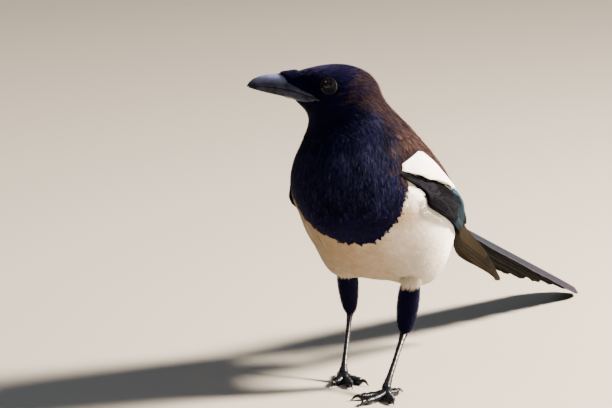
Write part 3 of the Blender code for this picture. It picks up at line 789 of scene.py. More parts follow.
@dataclass
class Coat:
    """Skin and the feathers that grow over it."""

    grid: CoatMap
    seed: int = 7

    def depth(self) -> Array:
        """How far the skin lies under the coat's outside, on the grid."""
        u = np.arange(self.grid.rows)[:, None]
        return np.broadcast_to(0.9 + 2.2 * smooth(u, 22, 60),
                               self.grid.step_u.shape)

    def skin(self, material: bpy.types.Material) -> None:
        """One seamless skin under the whole coat."""
        g = self.grid
        u, v = np.meshgrid(np.arange(g.rows, dtype=float),
                           np.arange(g.columns, dtype=float), indexing="ij")
        points = g.point - g.out * self.depth()[..., None]
        piece = Piece("skin", Slot.BLACK)
        white = Markings.white(g.point)
        piece.add(points, grid_quads(g.rows, g.columns, True), g.bake(u, v),
                  tone=white)
        for row in (0, g.rows - 1):
            ring = points[row]
            middle = ring.mean(0)
            cap = np.concatenate([ring, middle[None]])
            j = np.arange(g.columns)
            hub = np.full(g.columns, g.columns)
            quads = np.stack([j, (j + 1) % g.columns, hub, hub], -1)
            if row:
                quads = quads[:, [1, 0, 2, 2]]
            bake = np.concatenate([g.bake(u[row], v[row]),
                                   [[0.5, 0.5]]])
            piece.add(cap, quads, bake, tone=np.append(white[row], 0))
        piece.finish(material, ("head", "neck", "breast", "belly", "rump"))

    def tufts(self, name: str, slot: Slot, material: bpy.types.Material,
              roots: tuple[Array, Array], lie: Lie,
              shrink: Array | None = None) -> None:
        """Grow one region of coat, in pieces of bounded size.

        Args:
            name: The piece's name.
            slot: Its slot in the record.
            material: Its material.
            roots: Rows and columns where the tufts start.
            lie: How they lie.
            shrink: Scale of each tuft's length, or none.
        """
        faces = (24 if lie.vane else 0) + 4 * lie.strands
        parts = math.ceil(len(roots[0]) * faces / PIECE_LIMIT)
        if parts > 1:
            for part in range(parts):
                self.tufts("%s_%d" % (name, part + 1), slot, material,
                           tuple(x[part::parts] for x in roots), lie,
                           None if shrink is None else shrink[part::parts])
            return
        g, (u, v) = self.grid, roots
        rng = np.random.default_rng(self.seed + sum(map(ord, name)))
        n = len(u)
        size = (1.0 if shrink is None else shrink) * rng.uniform(0.8, 1.2, n)
        per_u = lie.length * size / g.read(g.step_u, u, v)
        per_v = lie.width * size / g.read(g.step_v, u, v)
        sway = rng.normal(0, 0.16, n) * per_v / lie.width * lie.length
        at = g.read(g.point, u, v)
        # Black tufts: random tone and slow patches, darker over rows 72 to 96
        # and beyond. White tufts: painted shade and light, buff low on the
        # belly, toward the front and on the right, whiter up the left flank
        # and back where the sun lamp falls, with a painted shadow atop the
        # front flank under the bib.
        tone = (rng.normal(0.5, 0.2, n) + 0.35 * wobble(at, 8.0, 1.0)
                - 0.4 * smooth(u, 72, 96) if slot is Slot.BLACK else
                np.interp(at @ (0.35, 1.1, 1.0), (60, 72, 84, 104, 108, 116),
                          (0.02, 0.11, 0.36, 0.5, 0.64, 1.0))
                - 0.42 * smooth(at[:, 2], 104, 116) * smooth(-at[:, 1], -5, 8)
                + rng.normal(0, 0.04, n))
        tone = np.clip(tone, 0, 1)
        high = rng.uniform(0.3, 1.0, n) * lie.lift
        piece = Piece(name, slot)
        if lie.vane:
            s = np.linspace(0, 1, 5)[None, :, None]
            j = np.array([-1, -0.4, 0.4, 1.0])[None, None, :]
            wide = np.sin(np.pi * np.clip(0.18 + 0.74 * s, 0, 1)) ** 0.8
            uu = u[:, None, None] + per_u[:, None, None] * (
                s - 0.10 * j ** 2 * s)
            vv = (v[:, None, None] + per_v[:, None, None] * j * wide
                  + sway[:, None, None] * s ** 2)
            rise = (-lie.depth * (1 - s) ** 1.6 + high[:, None, None] * s
                    - 0.35 * j ** 2 * lie.lift - 0.4)
            self._emit(piece, uu, vv, rise, tone, u, v, rng, lie.ruffle)
        k = lie.strands
        fan = (np.linspace(-1, 1, k)[None] + rng.normal(
            0, 0.5 / k, (n, k))) * (1.0 if k > 1 else 0.3)
        start = rng.uniform(0.05, 0.5, (n, k))
        long = rng.uniform(0.85, 1.15, (n, k)) * (1 - 0.15 * fan ** 2)
        s = np.array([0, 0.55, 1.0])[None, None, :, None]
        j = np.array([-1, 1.0])[None, None, None, :]
        t = start[..., None, None] + (
            long - start)[..., None, None] * s
        uu = u[:, None, None, None] + per_u[:, None, None, None] * t
        vv = (v[:, None, None, None] + per_v[:, None, None, None]
              * fan[..., None, None] * (0.35 + lie.spread * t)
              + sway[:, None, None, None] * t ** 2
              + j * 0.16 / g.read(g.step_v, u, v)[:, None, None, None]
              * (1.05 - s))
        rise = (-0.25 - lie.depth * (1 - np.clip(t, 0, 1)) ** 1.6
                + (high[:, None] * rng.uniform(0.5, 1.4, (n, k)))[
                    ..., None, None] * t)
        uu, vv, rise = (x.reshape(n * k, 3, 2)
                        for x in np.broadcast_arrays(uu, vv, rise))
        self._emit(piece, uu, vv, rise,
                   np.repeat(tone, k) + rng.normal(0, 0.12 if slot is
                                                   Slot.BLACK else 0.04,
                                                   n * k),
                   np.repeat(u, k), np.repeat(v, k), rng, lie.ruffle)
        piece.finish(material, ())

    def _emit(self, piece: Piece, u: Array, v: Array, rise: Array,
              tone: Array, root_u: Array, root_v: Array,
              rng: np.random.Generator, ruffle: float) -> None:
        """Turn grids of places into faces of a coat piece."""
        g = self.grid
        count, rows, columns = np.broadcast_shapes(u.shape, v.shape,
                                                   rise.shape)
        u, v, rise = (np.broadcast_to(x, (count, rows, columns))
                      for x in (u, v, rise))
        points = g.lay(u, v, rise)
        out = unit(g.read(g.out, u, v))
        lean = np.cross(out, unit(points[:, -1:] - points[:, :1] + 1e-6))
        tilt = rng.normal(0, ruffle, (count, 1, 1, 1))
        nose = rng.normal(0.1, ruffle * 0.5, (count, 1, 1, 1))
        along = unit(points[:, -1:] - points[:, :1] + 1e-6)
        normal = out + lean * tilt - along * nose
        one = grid_quads(rows, columns)
        quads = (one[None] + np.arange(count)[:, None, None] * rows
                 * columns)
        bake = g.bake(root_u, root_v)[:, None, None, :] + 0.003 * (
            plane_map(rows, columns)[None] - 0.5)
        tones = np.broadcast_to(np.clip(tone, 0, 1)[:, None, None],
                                (count, rows, columns))
        piece.add(points, quads, np.clip(bake, 0.001, 0.999), tone=tones,
                  normals=normal)

    def grow(self) -> None:
        """All the coat, in pieces by region and colour."""
        g = self.grid
        mats = {m.name: m.build() for m in (BLACK_COAT, THROAT_COAT,
                                            MANTLE_COAT, WHITE_COAT)}
        self.skin(skin_material())
        u = np.arange(g.rows, dtype=float)[:, None]
        v = np.arange(g.columns, dtype=float)[None]
        back = np.cos(2 * np.pi * v / g.columns)
        ones = np.ones_like(g.step_u)
        bare = 1 - self.under_wing(g.point)
        front = smooth(-back, 0.1, 0.55)
        # near is the bird's left side: there the brown mantle and nape reach
        # further round the neck, partly a painted sunlit glow on that side.
        near = smooth(np.sin(2 * np.pi * v / g.columns), -0.3, 0.1)
        shift = 0.35 * smooth(u, 52, 66) * near + 0.5 * (1 - near)
        rear = smooth(back, shift - 0.65, shift - 0.25)
        regions = (
            ("face_coat", Slot.BLACK, "black_coat", 12000,
             smooth(30 - u, 0, 3) * (1 - 0.8 * smooth(back, -0.2, 0.4)
                                     * smooth(u, 17, 24)),
             Lie(3.4, 0.75, 4, 0.5, 0.6, 0.35, False, 0.22)),
            ("crown_coat", Slot.BLACK, "black_coat", 7600,
             smooth(u, 22, 27) * smooth(48 - u, 0, 4)
             * (1 - 0.9 * rear),
             Lie(6.0, 1.3, 5, 0.55, 1.2, 0.45, False, 0.25)),
            ("nape_coat", Slot.BLACK, "mantle_coat", 5200,
             smooth(u, 15, 24) * rear * bare,
             Lie(9.5, 2.0, 7, 0.5, 2.0, 0.9, False, 0.32)),
            ("mantle_coat", Slot.BLACK, "mantle_coat", 3000,
             smooth(u, 40, 48) * rear * bare,
             Lie(11.5, 2.8, 7, 0.4, 2.2, 0.8, True, 0.28)),
            ("throat_coat", Slot.BLACK, "throat_coat", 3200,
             smooth(u, 28, 36) * smooth(66 - u, 0, 14)
             * smooth(-back, 0.15, 0.6),
             Lie(9.0, 1.0, 5, 0.4, 1.6, 0.6, False, 0.35)),
            ("neck_coat", Slot.BLACK, "black_coat", 3000,
             smooth(u, 38, 44) * smooth(64 - u, 0, 8)
             * np.maximum(front, 1 - rear),
             Lie(9.0, 1.4, 6, 0.4, 1.6, 0.4, False, 0.25)),
            ("breast_coat", Slot.BLACK, "black_coat", 5000,
             smooth(u, 50, 60) * smooth(shift - back, 0.0, 0.4) * bare,
             Lie(11.0, 2.6, 7, 0.45, 2.0, 0.3, True, 0.16)),
            ("belly_coat", Slot.WHITE, "white_coat", 8200, bare,
             Lie(12.0, 2.6, 7, 0.5, 1.3, 0.2, True, 0.05)),
        )
        for name, slot, finish, count, weight, lie in regions:
            white = Markings.white(self.ahead((u * ones, v * ones), lie,
                                              TIP_SHARE))
            weight = weight * (white if slot is Slot.WHITE else 1 - white)
            roots = g.scatter(count, weight + 1e-9, len(name))
            tip = self.ahead(roots, lie, TIP_SHARE)
            keep = g.read(weight, *roots) > 0.02
            keep &= (Markings.white(tip) > 0.5) == (slot is Slot.WHITE)
            size = self.room(roots, lie)
            if slot is Slot.BLACK:
                far = Markings.white(self.ahead(roots, lie, 1.3)) > 0.5
                size = np.where(far, size * 0.74, size)
            keep &= size > 0.3
            self.tufts(name, slot, mats[finish],
                       (roots[0][keep], roots[1][keep]), lie, size[keep])

    def ahead(self, roots: tuple[Array, Array], lie: Lie,
              share: float) -> Array:
        """Places a share of a tuft's length on from its root."""
        run = lie.length / self.grid.read(self.grid.step_u, *roots)
        return self.grid.read(self.grid.point, roots[0] + share * run,
                              roots[1])

    def room(self, roots: tuple[Array, Array], lie: Lie) -> Array:
        """Scale that keeps each tuft off the eyes and the bare horn."""
        size = np.ones(len(roots[0]))
        shares = (0.0, 0.2, 0.4, 0.6, 0.8, 1.0)
        for last, share in zip((0.0,) + shares, shares):
            at = self.ahead(roots, lie, share)
            blocked = Eyes.near(at) | Bill.bare(at)
            size = np.where(blocked & (size == 1), last, size)
        return size

    @staticmethod
    def under_wing(p: Array) -> Array:
        """How fully the folded wings cover points of the coat."""
        rel = p - WING_FROM
        along = rel @ WING_ALONG
        over = np.degrees(np.arctan2(np.abs(rel[..., 0]), rel @ WING_UP))
        inside = np.minimum(np.minimum(
            over - WingLines.up(along) - 2, WingLines.low(along) - 2 - over),
            (along - 2) * 1.5)
        return smooth(inside, 0, 4) * smooth(120 - along, 0, 10)


def skin_material() -> bpy.types.Material:
    """Skin in the coat's own markings, read from its tone."""
    made, node = Finish("skin_under_coat", (0, 0, 0), (1, 1, 1), 0.7,
                        specular=0.2).shader()
    nodes, links = made.node_tree.nodes, made.node_tree.links
    tone = nodes.new("ShaderNodeAttribute")
    tone.attribute_name = "tone"
    mix = nodes.new("ShaderNodeMix")
    mix.data_type = "RGBA"
    links.new(tone.outputs["Fac"], mix.inputs["Factor"])
    mix.inputs["A"].default_value = (0.004, 0.004, 0.007, 1)
    mix.inputs["B"].default_value = (0.6, 0.57, 0.53, 1)
    noise = nodes.new("ShaderNodeTexNoise")
    noise.inputs["Scale"].default_value = 1500
    bump = nodes.new("ShaderNodeBump")
    bump.inputs["Strength"].default_value = 0.3
    bump.inputs["Distance"].default_value = 0.0005
    links.new(noise.outputs["Fac"], bump.inputs["Height"])
    links.new(bump.outputs["Normal"], node.inputs["Normal"])
    links.new(mix.outputs["Result"], node.inputs["Base Color"])
    return made


# Bill, eyes and face


@dataclass
class Bill:
    """Upper and lower bill, and the folds at the corners of the mouth."""

    rows: int = 60
    columns: int = 40
    UPPER_EDGE = ((6.5, 10.4, 16.1, 21.9, 26.5), (-7.2, -4.9, -2.9, -0.1,
                                                  4.6))
    LOWER_EDGE = ((6.5, 8, 9.5, 12.0, 18.0, 22.5, 26.0),
                  (-7.8, -8.7, -9.4, -9.9, -9.9, -9.3, -8.2))

    @classmethod
    def bare(cls, p: Array) -> Array:
        """Whether points of the coat lie over bare horn."""
        a, b, c = np.moveaxis((p - EYES_AT) @ HEAD, -1, 0)
        return ((np.abs(b) > 3) & (a > GAPE - 0.6)
                & (c < np.interp(a, *cls.UPPER_EDGE) - 0.2)
                & (c > np.interp(a, *cls.LOWER_EDGE) + 0.2))

    @staticmethod
    def culmen(a: Array) -> Array:
        """Height of the bill's upper edge."""
        return np.interp(a, (12, 18.5, 22.5, 26.5, 34.6, 38.6, 42.6, 45.2,
                             46.4), (6.9, 6.4, 5.6, 5.0, 4.4, 3.5, 1.9,
                                     -0.4, -2.4))

    @staticmethod
    def gonys(a: Array) -> Array:
        """Height of the bill's lower edge."""
        return np.interp(a, (12, 18.5, 22.5, 27.3, 34.6, 40.6, 45.5),
                         (-10.6, -10.0, -9.1, -7.9, -6.3, -4.7, -3.2))

    @staticmethod
    def mouth(a: Array) -> Array:
        """Height of the line of the mouth."""
        return np.interp(a, (6, 14, 20, 26, 32.5, 40, 46.4),
                         (-7.6, -5.6, -4.2, -3.0, -2.2, -2.1, -2.8))

    @staticmethod
    def half(a: Array) -> Array:
        """Half the bill's width."""
        return np.interp(a, (12, 20, 26, 34, 40, 44, 46.4),
                         (7.0, 6.4, 5.5, 3.9, 2.7, 1.6, 0.5))

    def build(self) -> None:
        """Both halves of the bill."""
        horn = HORN.build()
        for upper in (True, False):
            piece = Piece("bill_upper_horn" if upper else "bill_lower_horn",
                          Slot.BILL)
            end = BILL_TIP if upper else BILL_TIP - 1.2
            f = np.linspace(0, 1, self.rows)
            a = HEAD_CUT - 5 + (end - HEAD_CUT + 5) * (1 - (1 - f) ** 1.4)
            soft = [smooth_values(x(a), 3) for x in
                    (self.culmen, self.gonys, self.mouth, self.half)]
            top, low, mid, half = (x[:, None] for x in soft)
            turn = np.linspace(0, np.pi, self.columns)[None]
            seam = mid + (0.12 if upper else -0.12)
            edge = (np.maximum(top, seam + 0.3) if upper
                    else np.minimum(low, seam - 0.3))
            wide = half * (1.0 if upper else 0.92)
            b = wide * np.sign(np.cos(turn)) * np.abs(np.cos(turn)) ** 0.9
            c = seam + (edge - seam) * np.sin(turn) ** 0.85
            lip = 0.18 * np.exp(-((c - seam) / 0.5) ** 2)
            b = b + np.sign(b) * lip * (1 if upper else 0)
            floor_b = wide * np.linspace(-0.9, 0.9, 8)[None]
            floor_c = np.broadcast_to(seam, floor_b.shape)
            ring_b = np.concatenate([b, floor_b], 1)
            ring_c = np.concatenate([c, floor_c], 1)
            ring_a = np.broadcast_to(a[:, None], ring_b.shape)
            points = head(ring_a, ring_b, ring_c)
            points[-1] = points[-1].mean(0)
            points[0] = points[0].mean(0)
            n = ring_b.shape[1]
            quads = grid_quads(self.rows, n, True)
            if upper:
                quads = quads[:, ::-1]
            # Painted highlight: from a = 21 on, the bill lightens toward its
            # top edge.
            tone = 0.08 + 0.85 * smooth(np.broadcast_to(
                ring_c, ring_b.shape), -1.6, 3.6) * smooth(ring_a, 21, 26)
            piece.add(points, quads, plane_map(self.rows, n, (0, 0),
                                               (1, 0.6)), tone=tone)
            for side in Side:
                self.cheek(piece, upper, side)
            piece.finish(horn, ("bill_upper" if upper else "bill_lower",))

    def cheek(self, piece: Piece, upper: bool, side: Side) -> None:
        """Horn that runs back over the face to the corner of the mouth.

        Args:
            piece: The half of the bill that it belongs to.
            upper: Whether that is the upper half.
            side: Side of the face.
        """
        a = np.linspace(GAPE + 0.4, 25.5, 44)[:, None]
        t = np.linspace(0, 1, 12)[None]
        seam = self.mouth(a) + (0.16 if upper else -0.16)
        line = self.UPPER_EDGE if upper else self.LOWER_EDGE
        edge = np.interp(a, *line)
        edge = (np.maximum(edge, seam + 0.1) if upper
                else np.minimum(edge, seam - 0.1))
        c = seam + (edge - seam) * t
        start = head(a, 0, c)
        ray = np.broadcast_to(HEAD[:, 1] * side.value, start.shape)
        face = (cast(start, ray, body) - start) @ HEAD[:, 1] * side.value
        full = self.culmen(a) if upper else self.gonys(a)
        share = np.clip((c - seam) / (full - seam), 0, 1)
        bill = self.half(a) * np.sqrt(1 - share ** 2.35)
        face = np.where(a < 24, face, 0)
        out = -smin(-face, -bill, 0.8)
        swell = 0.42 * np.sin(np.pi * np.clip(t, 0.02, 0.98)) ** 0.5 - 0.12
        swell = swell - 0.5 * smooth(a, 22.5, 25.5) - 0.3 * smooth(
            -a, -GAPE - 2, -GAPE)
        top = head(a, (out + swell) * side.value, c)
        low = head(a, (out - 1.2) * side.value, c)
        slot = 0.6 + (0.0 if side is Side.LEFT else 0.2)
        add_shell(piece, top, low, (0, slot), (1, 0.2),
                  tone=0.08 + 0.10 * t * np.ones_like(a))

    def corners(self) -> None:
        """Small pale fold at each corner of the mouth."""
        piece = Piece("gape_folds", Slot.BILL)
        for k, side in enumerate(Side):
            a = np.linspace(GAPE - 1.4, GAPE + 1.2, 12)
            c = self.mouth(a) - 0.15 - 0.22 * (GAPE + 1.2 - a)
            start = head(a, 0, c)
            ray = np.broadcast_to(HEAD[:, 1] * side.value, start.shape)
            path = cast(start, ray, body) - ray * 0.02
            radii = 0.42 * np.sqrt(np.clip(1 - np.linspace(-1, 1, 12) ** 2,
                                           0.02, 1))
            add_tube(piece, path, radii, 10, (0.5 * k, 0), (0.45, 1))
        piece.finish(GAPE_SKIN.build(), ())


def smooth_path(path: Array, count: int) -> Array:
    """More points along a path, with its corners rounded."""
    path = np.asarray(path, float)
    at = np.linspace(0, len(path) - 1, count)
    line = np.stack([np.interp(at, np.arange(len(path)), x)
                     for x in path.T], -1)
    return smooth_values(line, 12)


def smooth_values(values: Array, times: int) -> Array:
    """Row of values with its corners rounded."""
    out = values.copy()
    for _ in range(times):
        out[1:-1] = (out[:-2] + 2 * out[1:-1] + out[2:]) / 4
    return out


@dataclass
class Eyes:
    """Eyeballs and the lids round them."""

    lid: float = 4.25
    iris: float = 3.4
    pupil: float = 2.1

    @staticmethod
    def near(p: Array) -> Array:
        """Whether points of the coat lie over an eye or its lid."""
        a, _, c = np.moveaxis((p - EYES_AT) @ HEAD, -1, 0)
        return np.hypot(a, c) < 4.75

    def build(self) -> None:
        """Both eyes and their lids."""
        glass, rim = self.glass(), RIM.build()
        for side in Side:
            self.ball(side, glass)
        piece = Piece("eyelids", Slot.BLACK)
        for k, side in enumerate(Side):
            self.lids(piece, side, 0.5 * k)
        piece.finish(rim, ())

    def ball(self, side: Side, material: bpy.types.Material) -> None:
        """One eyeball, its tone falling from the pupil outward."""
        rows, columns = 40, 48
        t = np.linspace(0, np.pi, rows)[:, None]
        f = np.linspace(0, 2 * np.pi, columns, endpoint=False)[None]
        out = EYE_RADIUS * np.cos(t) * side.value
        points = head(EYE_RADIUS * np.sin(t) * np.cos(f),
                      EYE_OUT * side.value + out * np.ones_like(f),
                      EYE_RADIUS * np.sin(t) * np.sin(f))
        across = np.broadcast_to(EYE_RADIUS * np.sin(t), (rows, columns))
        front = np.broadcast_to(np.cos(t) > 0, (rows, columns))
        tone = np.where(front, across / EYE_RADIUS, 1.0)
        piece = Piece("eyeball_" + side.tag, Slot.EYE)
        piece.add(points, grid_quads(rows, columns, True),
                  plane_map(rows, columns), tone=tone)
        piece.finish(material, ("eye_" + side.tag,))

    def glass(self) -> bpy.types.Material:
        """Wet dark eye: black pupil, dark brown iris, clear front."""
        made, node = Finish("eye_wet", (0, 0, 0), (0, 0, 0), 0.1,
                            clear=0.42, specular=0.12).shader()
        node.inputs["Coat Roughness"].default_value = 0.02
        nodes, links = made.node_tree.nodes, made.node_tree.links
        tone = nodes.new("ShaderNodeAttribute")
        tone.attribute_name = "tone"
        ramp = nodes.new("ShaderNodeValToRGB")
        ramp.color_ramp.elements[0].position = self.pupil / EYE_RADIUS
        ramp.color_ramp.elements[0].color = (0.002, 0.002, 0.003, 1)
        ramp.color_ramp.elements[1].position = self.iris / EYE_RADIUS
        ramp.color_ramp.elements[1].color = (0.004, 0.003, 0.004, 1)
        middle = ramp.color_ramp.elements.new(
            (self.pupil + 0.25) / EYE_RADIUS)
        middle.color = (0.009, 0.006, 0.006, 1)
        links.new(tone.outputs["Fac"], ramp.inputs["Fac"])
        links.new(ramp.outputs["Color"], node.inputs["Base Color"])
        return made

    def lids(self, piece: Piece, side: Side, corner: float) -> None:
        """A beaded ring of bare lid, a little oval."""
        turn = np.linspace(0, 2 * math.pi, 72, endpoint=False)
        a, c = self.lid * 1.03 * np.cos(turn), self.lid * 0.99 * np.sin(turn)
        start = head(a, 0, c)
        ray = np.broadcast_to(HEAD[:, 1] * side.value, start.shape)
        depth = EYE_OUT + np.sqrt(np.maximum(
            EYE_RADIUS ** 2 - a ** 2 - c ** 2, 0.5))
        hit = cast(start, ray, body)
        out = (hit - start) @ HEAD[:, 1] * side.value
        seat = np.maximum(out - 0.15, depth) + 0.05
        middle = head(a, seat * side.value, c)
        away = unit(head(a, 0, c) - head(0, 0, 0))
        angle = np.linspace(0, 2 * math.pi, 12, endpoint=False)
        bead = 0.3 + 0.03 * np.sin(turn * 26)
        ring = (middle[:, None] + bead[:, None, None] * (
            np.cos(angle)[None, :, None] * away[:, None] * 1.1
            + np.sin(angle)[None, :, None] * ray[:, None]))
        quads = grid_quads(73, 12, True)
        quads = quads % (72 * 12)
        if side is Side.RIGHT:
            quads = quads[:, ::-1]
        piece.add(ring, quads, plane_map(72, 12, (corner, 0), (0.45, 1)),
                  tone=0.5)


@dataclass
class Bristles:
    """Stiff feathers that lie forward over the nostrils."""

    count: int = 760
    EDGE = ((0, 0.5, 1.17, 1.37, 1.5), (26.9, 25.6, 22.0, 16.8, 12.5))

    def build(self) -> None:
        """Both tufts as one piece."""
        rng = np.random.default_rng(5)
        n = self.count * 2
        side = np.where(np.arange(n) % 2, 1.0, -1.0)
        spread = rng.uniform(0.03, 1.0, n) ** 0.9
        end = 1.5 * spread
        reach = rng.uniform(5.5, 9.5, n) * (1 - 0.25 * spread)
        start = (np.interp(end, *self.EDGE) + rng.normal(0, 0.55, n)
                 - reach * rng.uniform(0.55, 1.0, n))
        s = np.linspace(0, 1, 5)[None]
        a = start[:, None] + reach[:, None] * s * 0.93
        a = np.minimum(a, np.interp(end, *self.EDGE)[:, None] + 0.9)
        half = np.maximum(Bill.half(a), 1.0) + 1.2 * smooth(20 - a, 0, 5)
        turn = end[:, None] - (0.10 + 0.22 * spread[:, None]) * (1 - s)
        mid = Bill.mouth(a)
        rise = 0.3 + rng.uniform(0.0, 0.9, n)[:, None] * np.sin(
            np.pi * np.clip(s * 0.85 + 0.1, 0, 1))
        b = side[:, None] * (half + rise) * np.sin(turn)
        c = mid + (Bill.culmen(a) - mid + rise) * np.cos(turn)
        centre = head(a, b, c)
        across = HEAD[:, 1][None, None] * np.cos(turn)[..., None] \
            - HEAD[:, 2][None, None] * (side[:, None] * np.sin(turn))[
                ..., None]
        wide = 0.2 * (1 - s ** 2)[..., None] + 0.02
        points = np.stack([centre - across * wide, centre + across * wide],
                          2)
        quads = grid_quads(5, 2)[None] + np.arange(n)[:, None, None] * 10
        bake = np.stack([np.clip((start - 2) / 22, 0.02, 0.95),
                         0.5 + 0.4 * side * spread], -1)
        bake = bake[:, None, None] + 0.003 * plane_map(5, 2)[None]
        piece = Piece("nostril_bristles", Slot.BLACK)
        piece.add(points, quads, bake, tone=np.repeat(
            rng.uniform(0.2, 0.9, n), 10))
        piece.finish(BLACK_COAT.build(), ())


# Wings and tail


@dataclass
class WingMap:
    """Surface that a folded wing lies on."""

    side: Side
    along: Array = field(default_factory=lambda: np.arange(-14, 204, 2.0))
    angle: Array = field(default_factory=lambda: np.arange(4, 116, 2.0))
    radius: Array = field(default_factory=lambda: np.zeros(0))

    def build(self) -> "WingMap":
        """Measure how far the surface lies from the wing's inner line."""
        s, t = np.meshgrid(self.along, np.radians(self.angle),
                           indexing="ij")
        start = WING_FROM + s[..., None] * WING_ALONG
        hit = cast(start, self.ray(t), wing_guide)
        self.radius = np.linalg.norm(hit - start, axis=-1)
        return self

    def ray(self, turn: Array) -> Array:
        """Directions at angles in radians down from the back."""
        return (np.sin(turn)[..., None] * np.array([self.side.value, 0, 0])
                + np.cos(turn)[..., None] * WING_UP)

    def at(self, along: Array, angle: Array, height: Array) -> Array:
        """Points above the surface."""
        i = np.clip((along - self.along[0]) / 2, 0, len(self.along) - 1.001)
        j = np.clip((angle - self.angle[0]) / 2, 0, len(self.angle) - 1.001)
        i0, j0 = np.floor(i).astype(int), np.floor(j).astype(int)
        fi, fj, r = i - i0, j - j0, self.radius
        reach = ((r[i0, j0] * (1 - fj) + r[i0, j0 + 1] * fj) * (1 - fi)
                 + (r[i0 + 1, j0] * (1 - fj) + r[i0 + 1, j0 + 1] * fj) * fi)
        start = WING_FROM + along[..., None] * WING_ALONG
        return start + self.ray(np.radians(angle)) * (
            reach + height)[..., None]


@dataclass(frozen=True)
class Vane:
    """One feather laid on a wing, as (mm along, degrees down)."""

    root: tuple[float, float]
    tip: tuple[float, float]
    half: float
    height: float
    tilt: float = 0.9
    sunk: float = 1.5
    blunt: float = 0.78
    tone: tuple[float, float] = (0.2, 0.8)
    fade: float = 0.0


@dataclass
class VaneSet:
    """Feathers of one kind joined in a piece."""

    piece: Piece
    rows: int = 14
    columns: int = 7
    thick: float = 0.16
    made: int = 0
    across: int = 10

    def add(self, place: Callable[[Array, Array, Array], Array], length:
            float, half: float, tone: float, rng: np.random.Generator,
            blunt: float = 0.78, shaft: float = 0.12,
            edge: float = 0.0, fade: float = 0.0) -> None:
        """Add one feather.

        Args:
            place: Points from share along, mm across and mm above.
            length: Its length, for the grain of its barbs.
            half: Half its width.
            tone: Its shade.
            rng: Source of the nicks in its edge.
            blunt: Share of the length where its tip starts to round.
            shaft: How far the shaft stands up.
            edge: How much lighter its margins are, a painted highlight.
            fade: How much darker its tip is.
        """
        s = np.linspace(0, 1, self.rows)[:, None]
        s = s ** 0.9
        j = np.linspace(-1, 1, self.columns)[None]
        tip = np.clip((s - blunt) / (1.003 - blunt), 0, 1)
        wide = half * np.clip(0.45 + 1.9 * s, 0, 1) * np.sqrt(
            np.clip(1 - tip ** 2, 0.004, 1))
        nick = 1 + rng.normal(0, 0.025, (self.rows, 1)) * np.abs(j)
        wide = wide * nick
        rise = shaft * np.exp(-(j * 3.2) ** 2) * (1 - 0.7 * s)
        curve = -0.05 * half * j ** 2
        size = 1 / self.across
        cell = (self.made % self.across * size,
                self.made // self.across * size)
        grain = np.stack([np.broadcast_to(s * length / 100,
                                          (self.rows, self.columns)),
                          wide * j / 100], -1)
        top, low = (place(s, wide * j, rise + curve + lift) for lift in
                    (self.thick / 2, -self.thick / 2))
        # Lighter margins are a painted highlight along the feather's edges;
        # fade darkens the tip.
        shade = np.clip(tone + edge * j ** 4 - fade * smooth(s, 0.45, 0.92),
                        0, 1)
        add_shell(self.piece, top, low, cell, (size, size), grain, shade)
        self.made += 1


